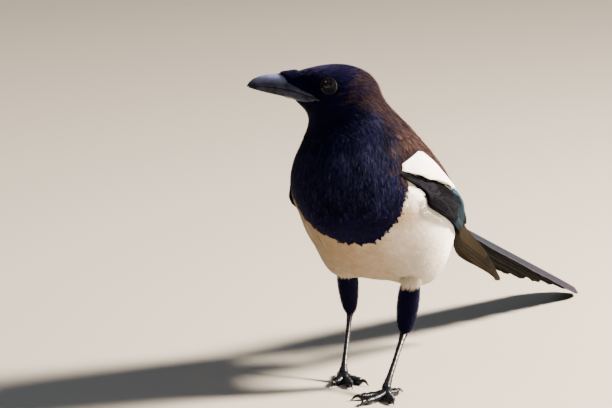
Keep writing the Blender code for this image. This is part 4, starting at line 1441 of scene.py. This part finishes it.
@dataclass
class Wing:
    """A folded wing: flight feathers, coverts and white scapulars."""

    side: Side

    def laid(self, surface: WingMap, vane: Vane,
             below: bool) -> Callable[[Array, Array, Array], Array]:
        """Place function of one feather, kept between the wing's edges.

        Args:
            surface: What the wing lies on.
            vane: The feather.
            below: Whether it belongs to the dark wing, not the scapulars.

        Returns:
            Points from share along, mm across and mm above.
        """
        def place(s: Array, across: Array, above: Array) -> Array:
            along = vane.root[0] + (vane.tip[0] - vane.root[0]) * s
            turn = vane.root[1] + (vane.tip[1] - vane.root[1]) * s
            share = across / max(vane.half, 0.1)
            angle = turn + np.degrees(across / np.interp(
                along, WingLines.REACH_AT, WingLines.REACH))
            seam, low, up = (line(along) for line in (
                WingLines.seam, WingLines.low, WingLines.up))
            press = 0.1 + 0.9 * smooth(along, -4, 12)
            if below:
                angle = np.maximum(angle, seam + 0.6 + 1.2 * (share + 1))
                angle = np.minimum(angle, low - 1.0 * (1 - share))
                near = 1 - np.clip((angle - seam) / 12, 0.15, 1)
                press = press * (1 - near * np.clip((100 - along) / 18,
                                                    0, 1))
            else:
                angle = np.minimum(angle, seam + 0.6 - 0.9 * (1 - share))
                angle = np.maximum(angle, up + 0.8 * (1 + share))
                press = press * (0.15 + 0.85 * np.clip((angle - up) / 7,
                                                       0, 1))
            lift = (vane.height - vane.sunk * np.clip(1 - s / 0.3, 0, 1)
                    + vane.tilt * (share + 1) / 2 * (0.3 + 0.7 * s) - 0.45)
            lift = 0.45 + np.maximum(lift - 0.45, 0) * press + above
            along, angle, lift = np.broadcast_arrays(
                along + self.forward(along), angle, lift)
            return surface.at(along, angle, lift)
        return place

    def rows_of(self) -> dict[str, list[Vane]]:
        """Every feather of the wing, in tiers from below upward."""
        tips = (((0, 3, 6, 9), (176, 203, 209, 176), (90, 83, 77, 60))
                if self.side is Side.LEFT else
                ((0, 3, 6, 9), (168, 192, 196, 164), (92, 87, 82, 62)))
        primaries = [Vane((62 + 1.0 * k, 91 - 0.35 * k),
                          (float(np.interp(k, tips[0], tips[1])),
                           float(np.interp(k, tips[0], tips[2]))),
                          5.6, 1.0 + 0.2 * k, 0.7, 0.4, 0.91, (0.3, 0.75),
                          0.25) for k in range(10)]
        secondaries = [Vane((42, 87 - 2.0 * k), (76 + 3.6 * k,
                                                 84.5 - 2.1 * k), 5.2,
                            2.6 + 0.09 * k, 0.8, 1.2, 0.86, (0.0, 0.35),
                            0.3) for k in range(8)]
        tertials = [Vane((54, 70.5 - 1.1 * k), (101 + 3 * k, 68 - 1.8 * k),
                         5.4, 3.4 + 0.2 * k, 0.7, 1.6, 0.84, (0.5, 0.8),
                         1.0) for k in range(4)]
        greater = [Vane((18, 83.5 - 1.3 * k), (55.5 - 0.6 * k,
                                              88 - 2.1 * k), 4.3,
                        3.6 + 0.06 * k, 0.7, 1.8, 0.84, (0.0, 0.3))
                   for k in range(9)]
        median = [Vane((2 + 0.4 * k, 76 - 0.6 * k),
                       (34 - 0.5 * k, 85 - 1.8 * k), 3.3,
                       4.2 + 0.05 * k, 0.6, 2.4, 0.72, (0.0, 0.4))
                  for k in range(8)]
        lesser = [Vane((-3 + 7 * r, 71.5 + 0.8 * r + 1.2 * k),
                       (12 + 7 * r, 72.5 + 1.6 * r + 1.5 * k), 2.2,
                       4.5 + 0.06 * k - 0.1 * r, 0.4, 2.6, 0.65,
                       (0.0, 0.5)) for r in (2, 1, 0) for k in range(5)]
        alula = [Vane((19, 87 - 1.8 * k), (49 - 5 * k, 89.5 - 1.8 * k), 3.0,
                      4.7 + 0.4 * k, 0.4, 2.6, 0.7, (0.0, 0.2))
                 for k in range(3)]
        return {"primaries": primaries, "secondaries": secondaries
                + tertials, "coverts": greater + median + lesser + alula}

    def build(self, black: bpy.types.Material, blue: bpy.types.Material,
              tips: bpy.types.Material, white: bpy.types.Material,
              down: bpy.types.Material) -> None:
        """Every piece of the wing.

        Args:
            black: For the coverts.
            blue: For the secondaries and tertials.
            tips: For the primaries.
            white: For the scapulars.
            down: For the flank feathers along the wing's lower edge.
        """
        surface = WingMap(self.side).build()
        rng = np.random.default_rng(11)
        dress = {"primaries": tips, "secondaries": blue, "coverts": black}
        for name, vanes in self.rows_of().items():
            piece = Piece("%s_%s" % (name, self.side.tag), Slot.BLUE)
            group = VaneSet(piece, across=8)
            for vane in vanes:
                group.add(self.laid(surface, vane, True),
                          vane.tip[0] - vane.root[0], vane.half,
                          float(rng.uniform(*vane.tone)), rng, vane.blunt,
                          edge=0.25, fade=vane.fade)
            piece.finish(dress[name], ("wing_" + self.side.tag,)
                         if name == "secondaries" else ())
        self.core(surface, black)
        self.cloak(surface, blue)
        self.scapulars(surface, white)
        self.flank(surface, down)

    def forward(self, along: Array) -> Array:
        """How far back this wing's front is set at places along it."""
        return (12 * np.clip(1 - (along + 4) / 44, 0, 1)
                if self.side is Side.RIGHT else np.zeros_like(along))

    def cloak(self, surface: WingMap, material: bpy.types.Material) -> None:
        """Inner feathers that close the wing over the back and rump."""
        rng = np.random.default_rng(37)
        piece = Piece("back_vanes_" + self.side.tag, Slot.BLUE)
        group = VaneSet(piece, rows=16, across=8)
        for k in range(7):
            root = np.array([50.0 + 2.5 * k, 60.0 - 5.6 * k])
            tip = np.array([139.0 - 3.2 * k, 62.0 - 6.5 * k])

            def place(s: Array, across: Array, above: Array,
                      root: Array = root, tip: Array = tip,
                      k: int = k) -> Array:
                along = root[0] + (tip[0] - root[0]) * s
                turn = root[1] + (tip[1] - root[1]) * s
                angle = turn + np.degrees(across / np.interp(
                    along, WingLines.REACH_AT, WingLines.REACH))
                lift = 0.5 + 0.28 * k - 2.4 * np.clip(1 - s / 0.4, 0, 1)
                return surface.at(*np.broadcast_arrays(
                    along, np.maximum(angle, 9), lift + above))
            group.add(place, tip[0] - root[0], 6.6,
                      float(rng.uniform(0.05, 0.2)), rng, 0.84, edge=0.25,
                      fade=0.1)
        piece.finish(material, ())

    def flank(self, surface: WingMap, material: bpy.types.Material) -> None:
        """White flank feathers that lap over the wing's lower edge."""
        rng = np.random.default_rng(47)
        first = 0 if self.side is Side.LEFT else 18
        n = (36 - first) * 34
        along, reach = rng.uniform(first, 36, n), rng.uniform(5.0, 9.0, n)
        start, end = rng.uniform(5.5, 11.0, n), rng.uniform(0.9, 5.5, n)
        s = np.array([0, 0.35, 0.7, 1.0])[None, :, None]
        j = np.array([-1, 1.0])[None, None]
        along, reach, start, end = (x[:, None, None] for x in (
            along, reach, start, end))
        at = along + reach * s
        away = start + (end - start) * s + j * 0.45 * (1.05 - s)
        high = -0.6 + 3.4 * smooth(-away, -6.0, -0.5) * smooth(at, 0, 16)
        at, away, high = np.broadcast_arrays(at, away, high)
        turn = WingLines.low(at) + away
        at = at + self.forward(at)
        points = surface.at(at, turn, high)
        quads = grid_quads(4, 2)[None] + np.arange(n)[:, None, None] * 8
        bake = np.stack([along.ravel() / 40, (start.ravel() - 2) / 10], -1)[
            :, None, None] + 0.003 * plane_map(4, 2)[None]
        piece = Piece("flank_fringe_" + self.side.tag, Slot.WHITE)
        # Mid tones mix in part of the white coat's buff painted shade, the
        # shade beside the wing.
        piece.add(points, quads, bake, tone=np.repeat(
            rng.uniform(0.5, 0.9, n), 8),
            normals=surface.ray(np.radians(turn)))
        piece.finish(material, ())

    def core(self, surface: WingMap, material: bpy.types.Material) -> None:
        """Dark bed that the flight feathers rise from."""
        s, j = np.meshgrid(np.linspace(-2, 122, 56), np.linspace(0, 1, 14),
                           indexing="ij")
        high = np.interp(s, (-2, 4, 19, 27, 39, 49, 56, 62, 72, 80, 90,
                             100, 122),
                         (69.2, 70, 71, 69.2, 68, 68.5, 67, 66, 70, 74.5, 79,
                          82, 86))
        low = np.interp(s, (-2, 4, 13, 19, 22, 26, 38, 64, 100, 122),
                        (70.8, 74.5, 77, 79, 84, 87.5, 88.5, 91, 97, 96))
        crown = np.clip(4 * j * (1 - j), 0, 1) ** 0.5 * smooth(
            s, -4, 14) * smooth(122 - s, -4, 40)
        angle = high * (1 - j) + low * j
        shift = self.forward(s)
        top = surface.at(s + shift, angle, 0.2 + 1.6 * crown)
        under = surface.at(s + shift, angle, -0.6 - 0 * s)
        piece = Piece("wing_bed_" + self.side.tag, Slot.BLUE)
        add_shell(piece, top, under, tone=0.3)
        piece.finish(material, ())

    def scapulars(self, surface: WingMap,
                  material: bpy.types.Material) -> None:
        """White shoulder feathers in overlapping rows."""
        rng = np.random.default_rng(23)
        piece = Piece("scapular_vanes_" + self.side.tag, Slot.WHITE)
        group = VaneSet(piece, rows=12, columns=7, across=9)
        for row in range(8):
            x = 44 - 6.6 * row
            count = (3, 4, 5, 6, 6, 6, 5, 3)[row]
            low = WingLines.seam(x + 14) - 2.0
            high = WingLines.up(x + 14) + 2.0
            for k in range(count):
                t = (k + 0.5) / count
                at = low * (1 - t) + high * t + rng.normal(0, 0.3)
                vane = Vane((x, at), (x + 21 + rng.uniform(-2, 2),
                                      at + (60.3 - at) * 0.25), 4.2,
                            3.3 + 0.16 * row, 0.25, 2.2, 0.6)
                group.add(self.laid(surface, vane, False), 21, vane.half,
                          float(rng.uniform(0.35, 1.0)), rng, vane.blunt)
        piece.finish(material, ("scapulars_" + self.side.tag,))


@dataclass
class Tail:
    """Twelve graduated feathers and coverts, rolled left edge down."""

    drop: float = 20.3
    length: float = 250.0
    roll: float = 27.0
    flat: float = 12.0
    feathers: tuple = ((1.5, 12.0, 1.0), (3.0, 11.8, 0.89),
                       (4.8, 11.8, 0.79), (8.0, 12.0, 0.69),
                       (11.0, 11.5, 0.59), (13.0, 11.0, 0.49))

    def section(self) -> tuple[Array, Array, Array, Array]:
        """Places and slope over mm across: flat on top, steep beside."""
        across = np.linspace(-32, 32, 129)
        far = np.abs(across)
        slope = np.radians(np.sign(across) * np.minimum(
            0.6 * far + 5.0 * np.maximum(far - self.flat, 0), 52))
        x, z = (np.concatenate([[0], np.cumsum((f[1:] + f[:-1]) / 4)])
                for f in (np.cos(slope), -np.sin(slope)))
        return across, x - x[64], z - z[64], slope

    def at(self, along: Array, across: Array, height: Array) -> Array:
        """Points mm out, mm left of the tail's middle and mm above it."""
        drop = math.radians(self.drop)
        out = np.array([0, math.cos(drop), -math.sin(drop)])
        over = np.array([0, math.sin(drop), math.cos(drop)])
        along, across, height = np.broadcast_arrays(along, across, height)
        table = self.section()
        x, z, slope = (np.interp(across, table[0], y) for y in table[1:])
        x, z = x + height * np.sin(slope), z + height * np.cos(slope)
        roll = np.radians(self.roll) * np.clip(along / 50, 0.1, 1)
        x, z = (x * np.cos(roll) + z * np.sin(roll),
                z * np.cos(roll) - x * np.sin(roll))
        return (TAIL_ROOT + along[..., None] * out
                + x[..., None] * np.array([1.0, 0, 0])
                + z[..., None] * over)

    def build(self, top: bpy.types.Material, side_top: bpy.types.Material,
              under: bpy.types.Material) -> None:
        """Twelve feathers, each a little below the one nearer the middle.

        Args:
            top: Gloss of the middle pair.
            side_top: Upper face of the others, painted dull and dark as shade.
            under: Lower face of all.
        """
        rng = np.random.default_rng(31)
        upper = Piece("tail_feathers", Slot.TAIL)
        group = VaneSet(upper, rows=30, columns=9, thick=0.3, across=4)
        for k in range(5, -1, -1):
            centre, half, reach = self.feathers[k]
            for side in Side:
                def place(s: Array, across: Array, above: Array,
                          k: int = k, side: Side = side,
                          centre: float = centre,
                          reach: float = reach) -> Array:
                    mid = side.value * centre * np.clip(0.4 + 1.2 * s, 0, 1)
                    along = 10 + (self.length * reach - 10) * s
                    share = across / 12.0
                    high = (-0.95 * k + (0.5 if side is Side.LEFT else 0)
                            - 0.33 * share * side.value - 0.4)
                    return self.at(along, mid + across, high + above)
                group.add(place, self.length * reach, half,
                          0.65 if k == 0 else 0.35, rng, 0.88, 0.5,
                          edge=0.2, fade=0.6 if k == 0 else 0.1)
        self.coverts(side_top, rng)
        made = upper.finish(side_top, ("tail",))
        made.data.materials.append(under)
        made.data.materials.append(top)
        faces = made.data.polygons
        sides = np.zeros(len(faces), np.int32)
        per = len(faces) // group.made
        sheet = (group.rows - 1) * (group.columns - 1)
        one = np.arange(len(faces)) % per
        sides[(one >= sheet) & (one < 2 * sheet)] = 1
        sides[(one < sheet) & (np.arange(len(faces)) >= len(faces)
                               - 2 * per)] = 2
        faces.foreach_set("material_index", sides)

    def coverts(self, material: bpy.types.Material,
                rng: np.random.Generator) -> None:
        """Short dark feathers that carry the rump on to the tail."""
        piece = Piece("tail_coverts", Slot.TAIL)
        group = VaneSet(piece, rows=14, across=6)
        for k in range(22):
            above_tail = k < 12
            row = k if above_tail else k - 12
            spot = (row % 6 - 2.5 if above_tail else row % 5 - 2.0) * 3.9
            back = 34.0 if row >= (6 if above_tail else 5) else 44.0
            side_drop = 0.035 * spot ** 2
            face = 1.0 if above_tail else -1.0

            def place(s: Array, across: Array, above: Array,
                      spot: float = spot, back: float = back,
                      fall: float = side_drop, face: float = face,
                      row: int = row) -> Array:
                along = -8 + (back + 8 - 0.25 * abs(spot)) * s
                high = np.interp(along, (-8, 2, 9, 20, 44),
                                 (0.5, 4.4, 5.0, 3.2, 0.9))
                high = high - fall + 0.05 * row - 0.02 * across * spot
                low = np.where(face > 0, 0.0, -2.5 - 0.12 * along)
                return self.at(along, spot + across,
                               low + face * (high + above))
            group.add(place, back + 8, 4.6, float(rng.uniform(0.1, 0.6)),
                      rng, 0.7, edge=0.2)
        piece.finish(material, ())


# Legs


@dataclass
class Leg:
    """Feathered thigh, scaled shank and foot, and claws."""

    side: Side
    knee: tuple[float, float, float]
    ankle: tuple[float, float, float]
    foot: tuple[float, float, float]
    toes: tuple
    thigh: tuple
    stout: float

    def build(self, black: bpy.types.Material, white: bpy.types.Material,
              scales: bpy.types.Material,
              nail: bpy.types.Material) -> None:
        """Every piece of the leg, in its four materials."""
        knee, ankle, foot = (np.array(x) for x in
                             (self.knee, self.ankle, self.foot))
        self.drumstick(knee, ankle, black)
        self.fringe(knee, ankle, white)
        self.shank(knee, ankle, foot, scales)
        self.toes_and_claws(foot, scales, nail)

    def drumstick(self, knee: Array, ankle: Array,
                  material: bpy.types.Material) -> None:
        """Thigh: dark skin under tufts that lie toward the ankle."""
        axis = unit(knee - ankle)
        length = float(np.linalg.norm(knee - ankle))
        side = unit(np.cross(axis, (1.0, 0.2, 0)))
        over = np.cross(side, axis)
        share = np.array([1.25, 1.0, 0.72, 0.5, 0.25, 0.06, -0.02])
        radius = np.array([1.5, self.thigh[0]] + list(self.thigh[1:])
                          + [2.4])
        rows, columns = 36, 40

        def point(f: Array, turn: Array, rise: Array) -> Array:
            r = np.interp(-f, -share, radius) + rise
            return (ankle + axis * (length * f)[..., None]
                    + side * (np.cos(turn) * r)[..., None]
                    + over * (np.sin(turn) * r)[..., None])

        f, turn = np.meshgrid(np.linspace(1.25, -0.02, rows),
                              np.linspace(0, 2 * math.pi, columns,
                                          endpoint=False), indexing="ij")
        piece = Piece("thigh_skin_" + self.side.tag, Slot.BLACK)
        points = point(f, turn, np.full_like(f, -0.8))
        points[0], points[-1] = points[0].mean(0), points[-1].mean(0)
        piece.add(points, grid_quads(rows, columns, True),
                  plane_map(rows, columns), tone=0.3)
        piece.finish(material, ("thigh_" + self.side.tag,))
        rng = np.random.default_rng(41 + self.side.value)
        n = 4200
        k = np.arange(n) + 0.5
        at = 1.05 - 0.97 * ((k * 0.7548776662) % 1)
        spin = 2 * math.pi * ((k * 0.5698402910) % 1)
        reach = rng.uniform(3.5, 6.0, n) / length
        s = np.array([0, 0.55, 1.0])[None, :, None]
        j = np.array([-1, 1.0])[None, None]
        f = at[:, None, None] - reach[:, None, None] * s
        r = np.interp(-at, -share, radius)
        turn = (spin[:, None, None] + rng.normal(0, 0.09, n)[:, None, None]
                * s + j * (0.17 / r)[:, None, None] * (1.08 - s))
        rise = -0.8 + 1.0 * s ** 0.7 + rng.uniform(
            0, 0.35, n)[:, None, None] * s
        f, turn, rise = np.broadcast_arrays(f, turn, rise)
        points = point(f, turn, rise)
        quads = grid_quads(3, 2)[None] + np.arange(n)[:, None, None] * 6
        bake = np.stack([np.clip((1.25 - at) / 1.4, 0.01, 0.98),
                         spin / 6.3], -1)[:, None, None] + 0.003 * (
                             plane_map(3, 2)[None])
        tufts = Piece("thigh_tufts_" + self.side.tag, Slot.BLACK)
        centre = ankle + axis * (length * f)[..., None]
        tilt = rng.normal(0, 0.25, (n, 1, 1, 1)) * side
        tufts.add(points, quads, bake, tone=np.repeat(
            rng.uniform(0.1, 0.9, n), 6),
            normals=unit(points - centre) + tilt)
        tufts.finish(material, ())

    def fringe(self, knee: Array, ankle: Array,
               material: bpy.types.Material) -> None:
        """White belly feathers that hang over the top of the thigh."""
        axis = unit(knee - ankle)
        side = unit(np.cross(axis, (1.0, 0.2, 0)))
        over = np.cross(side, axis)
        rng = np.random.default_rng(61 + self.side.value)
        n = 1200
        turn = rng.uniform(0, 2 * math.pi, n)
        more = 2.2 if self.side is Side.LEFT else 0.0
        long = rng.uniform(2.2 + more, 5.2 + more, n) * (
            1 + 0.25 * wobble(np.stack([turn * 6, turn * 3, turn], -1), 3))
        start = knee + (axis * rng.uniform(6.0, 10.0, n)[:, None])
        s = np.array([0, 0.35, 0.7, 1.0])[None, :, None]
        j = np.array([-1, 1.0])[None, None]
        reach = self.thigh[0] + np.array([-4.5, -1.6, 0.5, 0.6])[
            None, :, None] + rng.uniform(-0.3, 0.8, n)[:, None, None] * s
        spin = turn[:, None, None] + rng.normal(
            0, 0.10, n)[:, None, None] * s + j * 0.035 * (1.05 - s)
        spin, reach = np.broadcast_arrays(spin, reach)
        points = (start[:, None, None] - axis * (long[:, None, None] * s)[
            ..., None] + side * (np.cos(spin) * reach)[..., None]
            + over * (np.sin(spin) * reach)[..., None])
        quads = grid_quads(4, 2)[None] + np.arange(n)[:, None, None] * 8
        bake = np.stack([turn / 6.4, rng.uniform(0.1, 0.9, n)], -1)[
            :, None, None] + 0.003 * plane_map(4, 2)[None]
        out = (side * np.cos(spin)[..., None] + over * np.sin(spin)[
            ..., None])
        piece = Piece("thigh_fringe_" + self.side.tag, Slot.WHITE)
        # Low tones give the white coat's buff painted shade, as on the shaded
        # underside of the belly.
        piece.add(points, quads, bake, tone=np.repeat(
            rng.uniform(0.15, 0.4, n), 8), normals=out)
        piece.finish(material, ())

    def shank(self, knee: Array, ankle: Array, foot: Array,
              material: bpy.types.Material) -> None:
        """Bare shank with broad scutes down its front."""
        axis, down = unit(knee - ankle), unit(foot - ankle)
        length = float(np.linalg.norm(foot - ankle))
        rows = 150
        f = np.linspace(-0.07, 1.0, rows)
        path = np.where(f[:, None] < 0, ankle - axis * length * f[:, None],
                        ankle + down * length * f[:, None])
        radii = self.stout * np.interp(
            f, (-0.07, 0.0, 0.07, 0.2, 0.5, 0.8, 0.93, 1.0),
            (2.2, 2.3, 1.8, 1.35, 1.2, 1.4, 1.8, 2.0))
        radii = smooth_values(radii, 4)

        def relief(row: Array, turn: Array) -> Array:
            share = f[row.astype(int)]
            scute = (share * 11.0) % 1.0
            step = 0.10 * (scute - 0.5) * (np.abs(share - 0.5) < 0.52)
            ring = np.exp(-((scute - 0.02) / 0.05) ** 2) * -0.06
            return 1 + step + ring

        piece = Piece("shank_" + self.side.tag, Slot.LEG)
        add_tube(piece, path, radii, 28, (0, 0), (1, 1), relief=relief)
        piece.finish(material, ("tarsus_" + self.side.tag,))

    @staticmethod
    def wrinkles(row: Array, turn: Array) -> Array:
        """Scale of the ankle's and palm's radius: rings of small scutes."""
        wave = (row / 6.5) % 1.0
        return 1.02 - 0.09 * np.exp(-((wave - 0.05) / 0.09) ** 2)

    def toes_and_claws(self, foot: Array, scales: bpy.types.Material,
                       nail: bpy.types.Material) -> None:
        """Palm, toes with ringed scutes, and curved claws."""
        base = np.array([foot[0], foot[1], 0.0])
        lift = np.array([0, 0, 1.0])
        down = unit(foot - np.array(self.ankle))
        piece = Piece("toes_" + self.side.tag, Slot.LEG)
        path = np.array([foot - down * 2.6, foot - down * 1.2,
                         foot - down * 0.2, base + lift * 4.2,
                         base + lift * 2.6, base + lift * 1.2])
        add_tube(piece, smooth_path(path, 40), smooth_values(np.interp(
            np.linspace(0, 5, 40), range(6), (2.0, 2.4, 2.7, 3.0, 3.1, 1.8)),
            4), 24, (0, 0), (0.18, 0.18), relief=self.wrinkles)
        names = ["inner", "middle", "outer", "hind"]
        if self.side is Side.RIGHT:
            names = ["outer", "middle", "inner", "hind"]
        claws = [Piece("claw_tip_%s_%s" % (x, self.side.tag), Slot.CLAW)
                 for x in names]
        for k, (angle, reach) in enumerate(self.toes):
            h = math.radians(angle)
            ahead = np.array([math.sin(h), -math.cos(h), 0.0])
            claw = 9.0 if names[k] == "hind" else 7.5
            toe = reach - claw * 0.86
            f = np.linspace(0, 1, 90)
            z = np.interp(f, (0, 0.22, 0.4, 0.58, 0.72, 0.86, 1),
                          (3.6, 2.9, 2.3, 2.1, 2.0, 2.0, 2.1))
            r = np.interp(f, (0, 0.22, 0.4, 0.58, 0.72, 0.86, 0.96, 1),
                          (1.8, 2.1, 1.9, 2.3, 1.8, 2.2, 1.7, 1.3))
            z, r = smooth_values(z, 12), smooth_values(r, 6) * 1.14
            path = (base + ahead * (0.6 + (toe - 0.6) * f)[:, None]
                    + lift * z[:, None])
            scutes = 6.5 + toe * 0.42

            def relief(row: Array, turn: Array, n: float = scutes,
                       f: Array = f) -> Array:
                wave = (f[row.astype(int)] * n) % 1.0
                top = np.clip(np.sin(turn), 0, 1) ** 0.5
                pads = np.clip(-np.sin(turn), 0, 1)
                step = (0.14 * (0.5 - np.abs(wave - 0.42)) * 2
                        - 0.10 * np.exp(-(wave / 0.09) ** 2))
                return 1 + (step - 0.02) * top - 0.02 * pads

            add_tube(piece, path, r, 24, (0.2 + 0.2 * k, 0), (0.18, 1),
                     True, relief)
            s = np.linspace(0, 1, 30)
            arc = claw * 0.86 * s
            rise = (2.1 + 1.0 * np.sin(np.pi * np.minimum(s * 1.15, 1))
                    - 1.6 * s ** 2.2)
            start = toe - 0.5
            path = (base + ahead * (start + arc * (1 + 0.6 / claw))[:, None]
                    + lift * rise[:, None])
            add_tube(claws[k], path, 1.3 * (1 - s) ** 0.8 + 0.14, 16,
                     (0, 0), (1, 1))
        piece.finish(scales, ("foot_" + self.side.tag,))
        for name, claw_piece in zip(names, claws):
            claw_piece.finish(nail, ("claw_%s_%s" % (name, self.side.tag),))


LEGS = (
    Leg(Side.RIGHT, (-22.4, 26.1, 64.0), (-29.2, 46.4, 37.5),
        (-23.5, 23.5, 6.2), ((3, 20), (36, 25), (69, 21), (-148, 19)),
        (6.0, 6.0, 5.6, 4.8, 3.7), 1.08),
    Leg(Side.LEFT, (24.2, 10.0, 64.0), (14.9, 23.9, 33.3),
        (18.0, -10.0, 7.0), ((-47, 22), (-9, 28.5), (35, 21.5), (172, 19)),
        (5.6, 6.3, 6.3, 5.5, 4.0), 1.25))


# Studio


@dataclass
class Studio:
    """Floor, lights and the camera at the photo's viewing angle."""

    azimuth: float = 24.0
    elevation: float = 10.0
    distance: float = 3000.0
    scale: float = 0.575
    anchor: tuple[float, float] = (364.5, 392.7)
    picture: tuple[float, float] = (612.0, 408.0)

    def directions(self) -> tuple[Array, Array, Array]:
        """Right, up and back of the camera."""
        a, e = math.radians(self.azimuth), math.radians(self.elevation)
        back = np.array([math.sin(a) * math.cos(e),
                         -math.cos(a) * math.cos(e), math.sin(e)])
        right = np.array([math.cos(a), math.sin(a), 0.0])
        return right, np.cross(back, right), back

    def build(self) -> None:
        """Everything round the bird."""
        self.camera()
        self.floor()
        world = bpy.data.worlds.new("soft_room")
        bpy.context.scene.world = world
        world.use_nodes = True
        shade = world.node_tree.nodes["Background"]
        shade.inputs["Color"].default_value = (0.93, 0.95, 1.0, 1)
        shade.inputs["Strength"].default_value = 0.11
        self.lamp("sun", (1270, 650, 1060), 320, 280, (1.0, 0.87, 0.71))
        self.lamp("sky", (-700, -1100, 1500), 600, 7, (0.62, 0.78, 1.0))
        self.lamp("fill", (500, -1700, 300), 900, 2, (1.0, 0.90, 0.78))

    def camera(self) -> None:
        """Camera that puts the bird where the photo has it."""
        right, up, back = self.directions()
        spot = ((self.picture[0] / 2 - self.anchor[0]) * self.scale * right
                + (self.anchor[1] - self.picture[1] / 2) * self.scale * up
                + self.distance * back)
        data = bpy.data.cameras.new("camera")
        data.sensor_width = 36.0
        data.lens = 36.0 * self.distance / (self.picture[0] * self.scale)
        data.clip_start, data.clip_end = 0.05, 50
        camera = bpy.data.objects.new("camera", data)
        bpy.context.scene.collection.objects.link(camera)
        camera.matrix_world = Matrix.Translation(Vector(PLACE(spot))) @ (
            Matrix((right, up, back)).transposed().to_4x4())
        bpy.context.scene.camera = camera

    def floor(self) -> None:
        """Plain pale floor, 18 m on a side."""
        mesh = bpy.data.meshes.new("floor")
        verts = [(x, y, 0) for x, y in ((-9, -9), (9, -9), (9, 9), (-9, 9))]
        mesh.from_pydata(verts, [], [(0, 1, 2, 3)])
        made = bpy.data.materials.new("pale_floor")
        made.use_nodes = True
        node = made.node_tree.nodes["Principled BSDF"]
        node.inputs["Base Color"].default_value = (0.45, 0.41, 0.36, 1)
        node.inputs["Roughness"].default_value = 0.8
        mesh.materials.append(made)
        obj = bpy.data.objects.new("floor", mesh)
        bpy.context.scene.collection.objects.link(obj)

    def lamp(self, name: str, at: Sequence[float], size: float,
             power: float, colour: Sequence[float]) -> None:
        """One square soft light aimed at the bird."""
        data = bpy.data.lights.new(name, "AREA")
        data.energy, data.size, data.color = power, size * MM, colour
        obj = bpy.data.objects.new(name, data)
        bpy.context.scene.collection.objects.link(obj)
        obj.location = PLACE(np.array(at, float))
        aim = Vector(PLACE(np.array([0.0, 20.0, 110.0]))) - obj.location
        obj.rotation_mode = "QUATERNION"
        obj.rotation_quaternion = aim.to_track_quat("-Z", "Y")


def main() -> None:
    """Build the studio and the bird, piece by piece."""
    logging.basicConfig(level=logging.INFO, format="%(message)s")
    Studio().build()
    Bill().build()
    Bill().corners()
    Eyes().build()
    Bristles().build()
    Coat(CoatMap().build()).grow()
    plumes = [x.build() for x in (WING_BLACK, WING_BLUE, WING_TIPS,
                                  SCAPULAR, WHITE_COAT)]
    for side in Side:
        Wing(side).build(*plumes)
    Tail().build(TAIL_TOP.build(), TAIL_SIDE.build(), TAIL_UNDER.build())
    dress = [x.build() for x in (BLACK_COAT, WHITE_COAT, SHANK, NAIL)]
    for leg in LEGS:
        leg.build(*dress)


if __name__ == "__main__":
    main()
